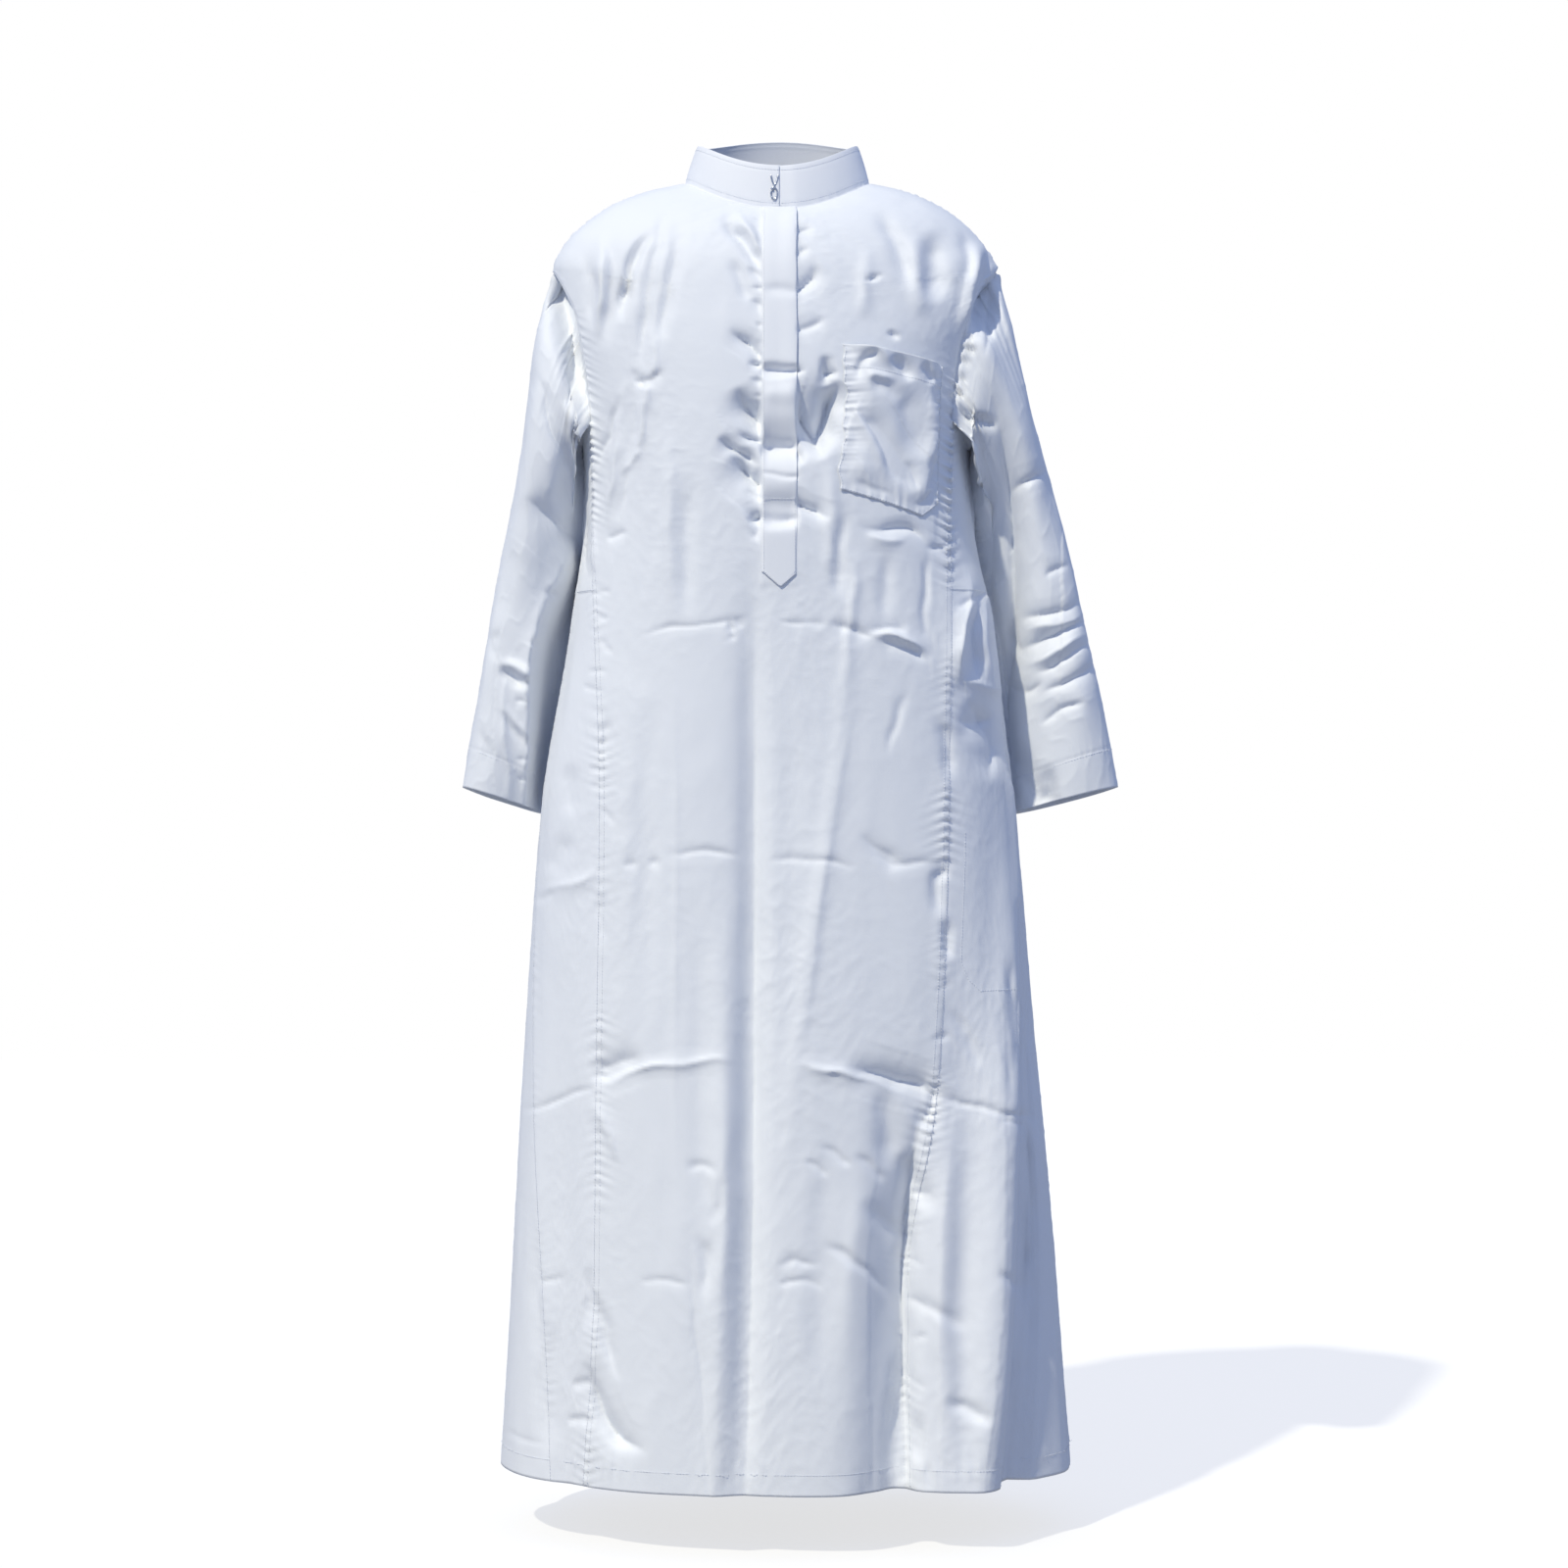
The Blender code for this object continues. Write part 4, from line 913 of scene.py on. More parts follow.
# Across the edge of a piece, from its cloth outwards: distances from the seam line, then rises.
# LAPPED is folded under and topstitched over its neighbour, LAID_UNDER is that neighbour, and
# SEWN_IN turns down into the armhole seam.
LAPPED = (
    (-0.016, -0.012, -0.009, -0.006, -0.003, 0.0, 0.0020, 0.0034, 0.0042, 0.0044),
    (0.0, 0.0001, 0.0003, 0.0006, 0.0008, 0.0009, 0.0008, 0.0006, 0.0001, -0.0006),
)
LAID_UNDER = (
    (-0.016, -0.012, -0.009, -0.006, -0.003, -0.001, 0.0004, 0.0014, 0.0024, 0.0034),
    (0.0, 0.0, 0.0, 0.0, 0.0, 0.0, 0.0, 0.0, -0.0001, -0.0002),
)
SEWN_IN = (
    (-0.016, -0.012, -0.009, -0.0065, -0.0045, -0.003, -0.002, -0.001, 0.0, 0.0008),
    (0.0, 0.0001, 0.0002, 0.0003, 0.0003, 0.0001, -0.0002, -0.0006, -0.0011, -0.0017),
)


def body_rows(start, count):
    """Levels down a piece, closer together over the chest, and a last few back up the hem."""
    fine = np.linspace(start, HEM_DOWN, 2001)
    density = 1 + 0.35 * bell(fine - 0.4, 0.18)
    density = density + 2.5 * bell(fine - TIP_DOWN - 0.006, 0.010)
    filled = np.concatenate([[0], np.cumsum((density[1:] + density[:-1]) / 2)])
    rows = np.interp(np.linspace(0, filled[-1], count), filled, fine)
    turn = HEM_DOWN - np.array([0.0, 0.0006, 0.003, 0.009, 0.017, HEM_TURN])
    rise = np.concatenate([np.zeros(count), [-0.0004], [-HEM_CLEAR] * 5])
    return np.concatenate([rows, turn]), rise


def edge_profile(rows, shoulder, side):
    """Distance and rise across an edge at each level.

    One profile runs over the shoulder, the sewn one round the armhole and another down the
    side, each smoothly into the next.
    """
    over, sewn, below = (np.array(edge)[:, None] for edge in (shoulder, SEWN_IN, side))
    to_hole = ease((rows - TIP_DOWN + 0.008) / 0.012)[:, None]
    to_side = ease((rows - UNDERARM_DOWN + 0.004) / 0.010)[:, None]
    mixed = over + (sewn - over) * to_hole
    return mixed + (below - mixed) * to_side


def panel_grid(first, last, rows, rise, count, first_edge, last_edge, focus=0.0):
    """Angles and rises of a piece between two seams, with a finished edge at each of them.

    The columns between follow the two edges averaged over some rows, and come to the edges
    themselves only at the sides, so that they do not shear where a seam turns sharply.  A
    focus crowds them towards the middle.
    """
    seams = seam_angles(rows)
    begin = seams[first]
    end = begin + (seams[last] - begin) % (2 * math.pi)
    off, first_rise = edge_profile(rows, *first_edge)
    left = begin[:, None] - off[:, ::-1] / ring_pace(begin, rows)[:, None]
    off, last_rise = edge_profile(rows, *last_edge)
    right = end[:, None] + off / ring_pace(end, rows)[:, None]
    fine = np.linspace(0, 1, 1001)
    filled = np.cumsum(1 + focus * bell(fine - 0.5, 0.13))
    filled = (filled - filled[0]) / (filled[-1] - filled[0])
    share = np.interp(np.linspace(0, 1, count), filled, fine)[1:-1]
    window = np.hanning(61)[1:-1]
    window /= window.sum()
    padded = [np.pad(side, len(window) // 2, "edge") for side in (left[:, -1], right[:, 0])]
    calm = [np.convolve(side, window, "valid")[:, None] for side in padded]
    middle = calm[0] + (calm[1] - calm[0]) * share
    middle = middle + (left[:, -1:] - calm[0]) * (1 - share) ** 8
    middle = middle + (right[:, :1] - calm[1]) * share**8
    flat = np.zeros(middle.shape)
    raised = np.concatenate([first_rise[:, ::-1], flat, last_rise], axis=1)
    return np.concatenate([left, middle, right], axis=1), raised + rise[:, None]


def body_sheet(name, angle, rows, rise):
    """A piece of the body's cloth from its grid of angles, levels and rises."""
    down = np.broadcast_to(rows[:, None], angle.shape)
    points = body_points(angle, down, rise)
    steps = np.linalg.norm(np.diff(points, axis=1), axis=-1)
    across = np.concatenate([np.zeros((len(rows), 1)), np.cumsum(steps, axis=1)], axis=1)
    return sheet_object(name, points, across - across[:, -1:] / 2, -down)


PANEL_TOP = 0.0004
TOP_TURNED_IN = -0.0016  # rise of a panel's top row, inside the collar
rows, rise = body_rows(PANEL_TOP, 610)
rise[0] = TOP_TURNED_IN
edge = (LAPPED, LAPPED)
angle, raised = panel_grid("front_right", "front_left", rows, rise, 134, edge, edge, 0.9)
front_panel = body_sheet("front_panel_cloth", angle, rows, raised)
front_panel.data.materials.append(cloth_finish("front_poplin", WHITE, 1.0))
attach(front_panel, "root")
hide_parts("front_panel", "front_panel_skirt")


# ------------------------------------------------------------------ back panel
# The straight back, one length of the same poplin from the shoulder seams to the hem.  Its long
# edges are lapped over the back gores like the front's, and its shoulders lie under the front's.
rows, rise = body_rows(PANEL_TOP, 520)
rise[0] = TOP_TURNED_IN
edge = (LAID_UNDER, LAPPED)
angle, raised = panel_grid("back_left", "back_right", rows, rise, 104, edge, edge)
back_panel = body_sheet("back_panel_cloth", angle, rows, raised)
back_panel.data.materials.append(cloth_finish("back_poplin", WHITE, 1.0))
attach(back_panel, "root")
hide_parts("back_panel", "back_panel_skirt")


# ------------------------------------------------------------------ side gores
# Four tapering gores, two to a side, widen the skirt from below the arms.  Front and back gore
# meet at the side seam, where the front one is folded over, and the left seam has a pocket mouth.
GORE_UNDER = 0.003  # length of a gore's top that lies under the gusset
POCKET_MOUTH = (0.745, 0.905)  # levels between which the left side seam stands open
MOUTH_STANDS = 0.0035  # and by how much


def gore(name, first, last, first_edge, last_edge, mouth=0.0):
    """One gore between two seams, its top laid under the gusset or the arm."""
    rows, rise = body_rows(GORE_DOWN - GORE_UNDER, 330)
    edges = [(edge, edge) for edge in (first_edge, last_edge)]
    angle, raised = panel_grid(first, last, rows, rise, 40, *edges)
    begun = ease((rows - POCKET_MOUTH[0]) / 0.03) * ease((POCKET_MOUTH[1] - rows) / 0.02)
    share = np.linspace(0, 1, angle.shape[1])
    raised = raised + mouth * begun[:, None] * ease((share - 0.80) / 0.2)
    made = body_sheet(name + "_cloth", angle, rows, raised)
    made.data.materials.append(cloth_finish(name + "_poplin", (0.835, 0.86, 0.895), 1.0))
    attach(made, "root")
    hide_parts(name)


gore("gore_front_right", "side_right", "front_right", LAPPED, LAID_UNDER)
gore("gore_back_right", "back_right", "side_right", LAID_UNDER, LAID_UNDER)
gore("gore_front_left", "front_left", "side_left", LAID_UNDER, LAPPED, MOUTH_STANDS)
gore("gore_back_left", "side_left", "back_left", LAID_UNDER, LAID_UNDER)


# ------------------------------------------------------------------ underarm gussets
# A wide gusset under each arm joins panel to panel between the sleeve and the gores, and gives
# the arm room.  Its foot is folded and topstitched over the tops of the two gores.
GUSSET_LEVELS = 62


def gusset(name, first, last):
    """A gusset: sewn in at the armhole above, lapped over the gores below."""
    top_off, top_rise = np.array(SEWN_IN)[:, ::-1]
    foot_off, foot_rise = np.array(LAPPED)
    top, foot = UNDERARM_DOWN - top_off, GORE_DOWN + foot_off
    rows = np.concatenate([top, np.linspace(top[-1], foot[0], GUSSET_LEVELS)[1:-1], foot])
    rise = np.concatenate([top_rise, np.zeros(GUSSET_LEVELS - 2), 0.55 * foot_rise])
    edge = (LAID_UNDER, LAID_UNDER)
    angle, raised = panel_grid(first, last, rows, rise, 74, edge, edge)
    made = body_sheet(name + "_cloth", angle, rows, raised)
    made.data.materials.append(cloth_finish(name + "_poplin", WHITE, 1.0))
    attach(made, "root")
    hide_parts(name)


gusset("gusset_right", "back_right", "front_right")
gusset("gusset_left", "front_left", "back_left")


# ------------------------------------------------------------------ sleeves
# Two long sleeves, each one cloth sewn into a tube and eased into the armhole, with a deep plain
# hem at the cuff.  They hang beside the body, bent a little, and crease at the elbow and cuff.
SLEEVE_COLUMNS = ("along", "outer_x", "outer_z", "inner_x", "inner_y", "inner_z", "front", "back")
SLEEVE_RIGHT = (
    (0.00, 0.2540, -0.098, 0.2230, 0.000, -0.272, 0.085, 0.085),
    (0.07, 0.2650, -0.135, 0.2360, 0.000, -0.297, 0.087, 0.087),
    (0.20, 0.2790, -0.205, 0.2300, 0.022, -0.350, 0.083, 0.085),
    (0.40, 0.2965, -0.330, 0.2240, 0.046, -0.435, 0.073, 0.077),
    (0.60, 0.3175, -0.450, 0.2380, 0.054, -0.525, 0.064, 0.066),
    (0.80, 0.3380, -0.565, 0.2540, 0.050, -0.615, 0.057, 0.058),
    (1.00, 0.3570, -0.677, 0.2680, 0.044, -0.707, 0.052, 0.053),
)
SLEEVE_LEFT = (
    (0.00, 0.2430, -0.098, 0.2080, 0.000, -0.272, 0.085, 0.085),
    (0.07, 0.2540, -0.135, 0.2290, 0.000, -0.297, 0.087, 0.087),
    (0.20, 0.2700, -0.205, 0.2290, 0.026, -0.350, 0.084, 0.085),
    (0.40, 0.3010, -0.330, 0.2300, 0.052, -0.435, 0.075, 0.076),
    (0.60, 0.3330, -0.450, 0.2420, 0.056, -0.525, 0.068, 0.067),
    (0.80, 0.3590, -0.565, 0.2540, 0.052, -0.615, 0.062, 0.060),
    (1.00, 0.3790, -0.677, 0.2650, 0.046, -0.707, 0.057, 0.055),
)
SLEEVE_SHIFT_BACK = 0.008
CUFF_TILT = 0.004
ARMHOLE_FADE = 0.35  # share of the length over which the armhole's outline turns into ellipses
CUFF_TURN = 0.080  # share of the length that is folded up inside at the cuff
SLEEVE_LONG = 0.6
# Creases of the two sleeves on the plan of the front.
SLEEVE_RIGHT_FOLDS = (
    (11, 0, 10, 600, 532, 584, 562, 565, 592, 550, 627, 538, 682, 534, 900),
    (-9, 0, 12, 532, 505, 564, 530, 598, 560),
    (-3.5, 0, 5, 546, 372, 555, 408, 565, 442, 592, 500),
    (-2, -7, 7, 508, 676, 524, 686, 546, 697),
    (-1, -3, 5, 512, 722, 524, 740, 540, 764),
    (3, 0, 5, 514, 680, 515, 740, 518, 790, 523, 860),
    (-2.2, 0, 3, 554, 610, 567, 602),
    (-2.2, 0, 3, 545, 642, 557, 635),
    (-2.2, 0, 3, 540, 660, 551, 653),
    (-2, 0, 3, 525, 716, 538, 716),
    (-2, 0, 3, 526, 772, 537, 774),
    (-2, 0, 3, 526, 796, 537, 797),
)
SLEEVE_LEFT_FOLDS = (
    (-22, 0, 17, 1004, 380, 1022, 440, 1029, 500, 1030, 600, 1026, 700, 1014, 800),
    (-5, 0, 5, 1016, 270, 1012, 320, 1004, 366),
    (-4, 0, 5, 1024, 503, 1050, 490, 1078, 477),
    (-5, 0, 5, 1032, 632, 1074, 626, 1112, 610),
    (-6, 0, 6, 1030, 664, 1060, 655, 1116, 626),
    (-5.5, 0, 5, 1052, 690, 1090, 670, 1124, 650),
    (-5, 0, 5, 1060, 710, 1094, 694, 1128, 674),
    (-4, 0, 4, 1020, 636, 1036, 658, 1054, 674),
    (-4, 0, 4, 1026, 698, 1046, 706, 1064, 694),
    (-3, 0, 4, 1062, 740, 1080, 726, 1108, 716),
    (-2.5, 0, 4, 1062, 587, 1094, 577),
    (4, 0, 5, 1040, 642, 1074, 640, 1110, 622),
    (3.5, 0, 5, 1044, 680, 1080, 664, 1112, 644),
)
SLEEVE_RIGHT_CREASES = (
    (-10, 0, 13, 616, 560, 592, 610, 575, 645, 563, 695, 556, 900),
    (-27, 7, 16, 542, 240, 560, 280, 572, 318, 582, 356, 590, 392, 600, 430),
    (6, 0, 8, 578, 404, 588, 436, 592, 486),
    (-3, 3, 14, 578, 440, 574, 490, 566, 530),
    (-2, 0, 7, 548, 360, 534, 430, 530, 492),
    (-2, 0, 8, 526, 540, 516, 590, 510, 640),
    (-1.5, 0, 5, 486, 740, 498, 770, 496, 796),
    (2.5, 0, 9, 552, 300, 550, 380, 540, 450),
    (-2, 0, 6, 506, 640, 504, 660, 512, 676),
)
SLEEVE_LEFT_CREASES = (
    (-20, 6, 12, 1018, 226, 1004, 272, 998, 306, 993, 352),
    (-5, 0, 4, 1020, 276, 1014, 310, 1008, 352),
    (-3, 0, 3, 976, 338, 998, 345),
    (-3, 0, 3, 974, 351, 998, 360),
    (-3, 0, 3, 966, 367, 992, 373),
    (-3, 0, 3, 964, 383, 990, 389),
    (-3, 0, 3, 962, 398, 986, 403),
    (-5, 0, 5, 974, 416, 990, 425, 1020, 433),
    (-6, 0, 16, 1000, 430, 1010, 520, 1012, 640),
    (-7, 0, 11, 1034, 745, 1052, 800, 1090, 832),
    (-6, 0, 8, 1066, 780, 1072, 806, 1060, 830),
    (-5, 0, 8, 1000, 690, 1020, 740, 1034, 810),
    (-3, 0, 9, 1060, 400, 1072, 470, 1082, 540),
    (3, 0, 8, 1020, 300, 1040, 360, 1056, 430),
    (-2, 0, 10, 1040, 520, 1050, 580, 1050, 620),
)
# And of their hidden backs, on the cloth unrolled from the arm's outer line.
BACK_TO_RADIAN = 65  # squares to a radian round the arm
BACK_TO_CUFF = 600  # and from the armhole to the cuff
SLEEVE_BACK_CREASES = (
    (11, 0, 20, 208, -140, 208, 150, 208, 380),
    (-5, 0, 6, 250, 330, 290, 316, 340, 326),
    (-4, 0, 6, 246, 350, 296, 344, 344, 356),
    (3, 0, 7, 240, 300, 290, 286, 350, 296),
    (-4, 0, 6, 300, 500, 330, 476, 372, 470),
    (-3.5, 0, 6, 296, 536, 332, 512, 370, 506),
    (-3, 0, 9, 330, 60, 322, 150, 318, 240),
    (-3, 0, 9, 280, 40, 276, 120, 284, 210),
    (-2, 0, 5, 366, 260, 372, 360, 366, 480),
    (-2.5, 0, 7, 240, 400, 250, 470, 246, 560),
)
# Beside the seam at the armhole the cloth sinks, and then rolls up again.
HEAD_SINK = 0.0013
HEAD_ROLL = 0.0012


def armhole(side):
    """The armhole's outline as angles and levels: tip, down the front, under the arm, up the back."""
    hole = TIP_DOWN + (UNDERARM_DOWN - TIP_DOWN) * np.linspace(0, 1, 52) ** 1.7
    seams = seam_angles(hole)
    word = "right" if side < 0 else "left"
    front, back = seams["front_" + word], seams["back_" + word]
    under = np.linspace(front[-1], back[-1], 42)[1:-1]
    angle = np.concatenate([front, under, back[:0:-1]])
    return angle, np.concatenate([hole, np.full(len(under), UNDERARM_DOWN), hole[:0:-1]])


def sleeve_rings(side, table, loop, around, along):
    """Ellipses carried from the armhole to the cuff, which start as the armhole's own outline."""
    size = read(SLEEVE_COLUMNS, table, along)
    zero = np.zeros_like(along)
    outer = np.stack([side * size["outer_x"], SLEEVE_SHIFT_BACK * along, size["outer_z"]], -1)
    inner = np.stack([side * size["inner_x"], size["inner_y"], size["inner_z"]], -1)
    cosine = np.cos(around)[None, :, None]
    sine = np.sin(around)[None, :, None]
    tilt = CUFF_TILT * along
    forward = np.stack([zero, -size["front"], tilt], -1)[:, None]
    backward = np.stack([zero, size["back"], -tilt], -1)[:, None]
    rings = (outer + inner)[:, None] / 2 + (outer - inner)[:, None] / 2 * cosine
    rings = rings + np.where(sine > 0, forward * sine, -backward * sine)
    fade = 1 - ease(along / ARMHOLE_FADE)[:, None, None]
    return rings + fade * (loop[None] - rings[:1])


def sleeve_form(side, table, along, step=1e-3):
    """Plain rings of a sleeve at shares of its length, their outward normals, and turns round."""
    loop = body_points(*armhole(side))
    steps = np.linalg.norm(np.diff(np.vstack([loop, loop[:1]]), axis=0), axis=1)
    around = 2 * math.pi * np.concatenate([[0], np.cumsum(steps)[:-1]]) / steps.sum()
    rings, later, sooner = (
        sleeve_rings(side, table, loop, around, shares)
        for shares in (along, np.minimum(along + step, 1), np.maximum(along - step, 0))
    )
    round_arm = np.roll(rings, -1, axis=1) - np.roll(rings, 1, axis=1)
    return rings, unit(np.cross(round_arm, later - sooner) * side), around


def sleeve_lift(rings, out, around, along, creases, pressed, seed):
    """Lift of a sleeve: drawn creases before and behind, a seeded unevenness and its seams."""
    column, row = plan(rings)
    ahead = facing(out)
    turn, share = np.broadcast_arrays(around[None, :], along[:, None])
    front = drawn(column, row, creases) + drawn(column, row, pressed, pressed=True)
    back = drawn(BACK_TO_RADIAN * turn, BACK_TO_CUFF * share, SLEEVE_BACK_CREASES)
    lift = (ahead * front + (1 - ahead) * back) * ease(share / 0.009)
    soft = np.sin(3 * turn + 9 * share + seed) + np.sin(5 * turn - 14 * share + 2 * seed)
    net = np.sin(6 * turn + 31 * share + seed) + np.sin(9 * turn - 23 * share + 3 * seed)
    crisp = np.exp(-3 * np.abs(net + np.sin(4 * turn + 47 * share)))
    lift = lift + 0.0009 * soft * ease(share / 0.2) + 0.0007 * (crisp - 0.3)
    from_seam = 0.62 * share
    eased = np.exp(-from_seam / 0.016) * ease(from_seam / 0.004)
    lift = lift + 0.0015 * eased * pucker(turn * 0.072, seed, 0.011)
    lift = lift - HEAD_SINK * bell(from_seam, 0.0028) + HEAD_ROLL * bell(from_seam - 0.009, 0.006)
    under = apart(turn, math.pi) * 0.07
    lift = lift - 0.0009 * bell(under, 0.0016)
    lift = lift + 0.0007 * np.exp(-np.abs(under) / 0.010) * pucker(share * 0.6, seed + 2)
    stitched = (share - (1 - CUFF_TURN)) * SLEEVE_LONG
    lift = lift - 0.0006 * bell(stitched, 0.002)
    cuff = np.exp(-np.abs(stitched) / 0.008) * pucker(turn * 0.06, seed + 4, 0.009)
    return lift + 0.0004 * cuff


def seam_allowance(side, edge):
    """Two rings that carry the sleeve's edge on under the cloth of the body."""
    body_out = torso_out(*armhole(side))
    run = unit(np.roll(edge, -1, axis=0) - np.roll(edge, 1, axis=0))
    away = torso(side * math.pi / 2, (TIP_DOWN + UNDERARM_DOWN) / 2) - edge
    for other in (body_out, run):
        away = away - (away * other).sum(-1, keepdims=True) * other
    away = unit(away)
    return [edge - back * away - sunk * body_out for back, sunk in ((0.006, 0.0024), (0.0025, 0.0012))]


def sleeve(name, side, table, creases, pressed, seed, flat):
    """A sleeve from the armhole to the cuff and back up inside as its hem."""
    near = np.array([0.0, 0.002, 0.004, 0.006, 0.009, 0.012, 0.016, 0.020, 0.025])
    along = np.concatenate([near, np.linspace(0.03, 1.0, 255)])
    turned = np.array([1.0, 0.999, 0.99, 0.96, 1 - CUFF_TURN])
    parts = []
    for shares, clear in ((along, 0.0), (turned, np.array([0.0005] + 4 * [HEM_CLEAR])[:, None])):
        rings, out, around = sleeve_form(side, table, shares)
        lift = sleeve_lift(rings, out, around, shares, creases, pressed, seed) - clear
        parts.append(rings + lift[..., None] * lift_way(out))
    points = np.concatenate([seam_allowance(side, parts[0][0]), *parts])
    flat_down = np.concatenate([[-0.012, -0.006], along, 2 - turned]) * SLEEVE_LONG
    across, down = np.broadcast_arrays(around[None] * 0.068, -flat_down[:, None])
    if side < 0:
        points, across, down = points[:, ::-1], across[:, ::-1], down[:, ::-1]
    made = sheet_object(name + "_cloth", points, across, down, tube=True)
    made.data.materials.append(cloth_finish(name + "_poplin", WHITE, 1.1))
    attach(made, "root")
    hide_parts(name)


# Each arm's side, rings, soft creases, pressed creases and seed.
ARMS = {
    "right": (-1, SLEEVE_RIGHT, SLEEVE_RIGHT_CREASES, SLEEVE_RIGHT_FOLDS, 1.3),
    "left": (1, SLEEVE_LEFT, SLEEVE_LEFT_CREASES, SLEEVE_LEFT_FOLDS, 3.9),
}
sleeve("sleeve_right", *ARMS["right"], (0.42, 0.65))
sleeve("sleeve_left", *ARMS["left"], (0.44, 0.65))


# ------------------------------------------------------------------ collar
# A stiff standing band of interlined poplin, folded along its top and topstitched near both
# edges.  Its ends lap at centre front, over a hook and eye.
COLLAR_TOP_RIGHT = 0.0925
COLLAR_TOP_LEFT = 0.0870
COLLAR_TOP_FRONT = 0.061
COLLAR_TOP_BACK = 0.064
COLLAR_TOP_Z_SIDE = 0.042
COLLAR_TOP_Z_FRONT = 0.010
COLLAR_TOP_Z_BACK = 0.060
COLLAR_OVER_END_DEG = -0.5
COLLAR_LAP_DEG = 18.0
LAP_STEP_DEG = 12.0
COLLAR_THICK = 0.0013
COLLAR_STITCH_UP = (0.115, 0.885)  # shares of its height where it is topstitched


def collar(angle, up, sink):
    """The collar's surface: from the neck ring (up 0) to its top ring (up 1), sunk by a lap."""
    base = torso(angle, np.zeros_like(angle))
    turned = (angle + math.pi) % (2 * math.pi) - math.pi
    across, forward = np.sin(turned), np.cos(turned)
    wide = np.where(across < 0, COLLAR_TOP_RIGHT, COLLAR_TOP_LEFT)
    deep = np.where(forward > 0, COLLAR_TOP_FRONT, COLLAR_TOP_BACK)
    rim = np.where(forward > 0, COLLAR_TOP_Z_FRONT, COLLAR_TOP_Z_BACK) - COLLAR_TOP_Z_SIDE
    top = np.stack([wide * across, -deep * forward, COLLAR_TOP_Z_SIDE + rim * forward**2], -1)
    flat = np.stack([across, -forward, np.zeros_like(across)], -1)
    return base + (top - base) * up[..., None] - flat * sink[..., None]


def collar_sink(angle):
    """The under end runs one wall and a gap inside the upper end."""
    past = math.radians(COLLAR_OVER_END_DEG + LAP_STEP_DEG) - angle
    return 0.0018 * ease(past / math.radians(LAP_STEP_DEG))


def collar_relief(angle, up):
    """Inward set of the collar's face: bound edges, a stiff belly, short ripples at its seam."""
    edge = bell(up, 0.05) + bell(1 - up, 0.05)
    stitched = sum(bell(up - line, 0.03) for line in COLLAR_STITCH_UP)
    belly = np.sin(math.pi * np.clip(up, 0, 1))
    ripple = np.sin(37 * angle + 2 * np.sin(11 * angle)) * np.exp(-np.maximum(up, 0) / 0.16)
    wander = np.sin(3 * angle + 1) + 0.7 * np.sin(7 * angle + 2.5 * up)
    return 0.0005 * edge + 0.0003 * stitched - 0.0007 * belly - 0.00028 * ripple - 0.0003 * wander


collar_start = math.radians(COLLAR_OVER_END_DEG - COLLAR_LAP_DEG)
collar_end = math.radians(COLLAR_OVER_END_DEG) + 2 * math.pi
up = np.concatenate([[-0.075, -0.04, 0.0], np.linspace(0.03, 0.97, 28), [0.985, 1.0]])[::-1]
angle, up = np.meshgrid(np.linspace(collar_start, collar_end, 300), up)
sink = collar_sink(angle) + collar_relief(angle, up)
sink = sink - 0.0007 - 0.0016 * np.clip(-up / 0.075, 0, 1)
points = collar(angle, up, sink)
collar_band = sheet_object("collar_band_cloth", points, angle * 0.08, up * 0.045)
thicken = collar_band.modifiers.new("interlined", "SOLIDIFY")
thicken.thickness = COLLAR_THICK
thicken.offset = -1
rounded = collar_band.modifiers.new("pressed_edges", "BEVEL")
rounded.width = 0.0004
rounded.segments = 2
rounded.limit_method = "ANGLE"
rounded.angle_limit = math.radians(60)
collar_band.data.materials.append(cloth_finish("collar_poplin", (0.85, 0.87, 0.90), 0.35))
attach(collar_band, "root")
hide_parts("collar_band")


# ------------------------------------------------------------------ placket
# A strip of two layers from the collar to a pointed tip covers the front opening.  Its right
# edge is stitched down; its left edge is free as far as a cross seam, and stands off a little.
PLACKET_THICK = 0.0009
PLACKET_FREE_DOWN = 0.452  # the free edge ends here
rim = [0.95, 0.985, 1.0]
share = np.concatenate([np.negative(rim[::-1]), np.linspace(-0.88, 0.88, 19), rim])[None, :]
half = (PLACKET_LEFT - PLACKET_RIGHT) / 2
x = PLACKET_RIGHT + half + share * half
tip = np.clip(1 - np.abs(x - PLACKET_TIP_X) / half, 0, 1)
foot = PLACKET_SHOULDER_DOWN + (PLACKET_TIP_DOWN - PLACKET_SHOULDER_DOWN) * tip
down = PLACKET_TOP_DOWN + (foot - PLACKET_TOP_DOWN) * np.linspace(0, 1, 300)[:, None]
sway = 0.0004 * np.sin(31 * down) + 0.0002 * np.sin(83 * down)
free = ease((share + 0.2) / 1.1) * ease((PLACKET_FREE_DOWN - down) / 0.03) * ease(down / 0.05)
pillow = 0.0006 * (1 - share**4)
rise = 0.0013 + pillow + 0.0014 * free * (1 + 0.5 * np.sin(23 * down))
rise = rise - 0.0008 * np.clip((np.abs(share) - 0.93) / 0.07, 0, 1) ** 2 * (1 - free)
points = body_points(angle_at(x + sway, down), down, rise)
across = np.broadcast_to(share * half, down.shape)
placket = sheet_object("placket_cloth", points, across, -down)
layers = placket.modifiers.new("two_layers", "SOLIDIFY")
layers.thickness = PLACKET_THICK
layers.offset = -1
placket.data.materials.append(cloth_finish("placket_poplin", (0.86, 0.88, 0.905), 0.5))
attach(placket, "root")
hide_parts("placket")


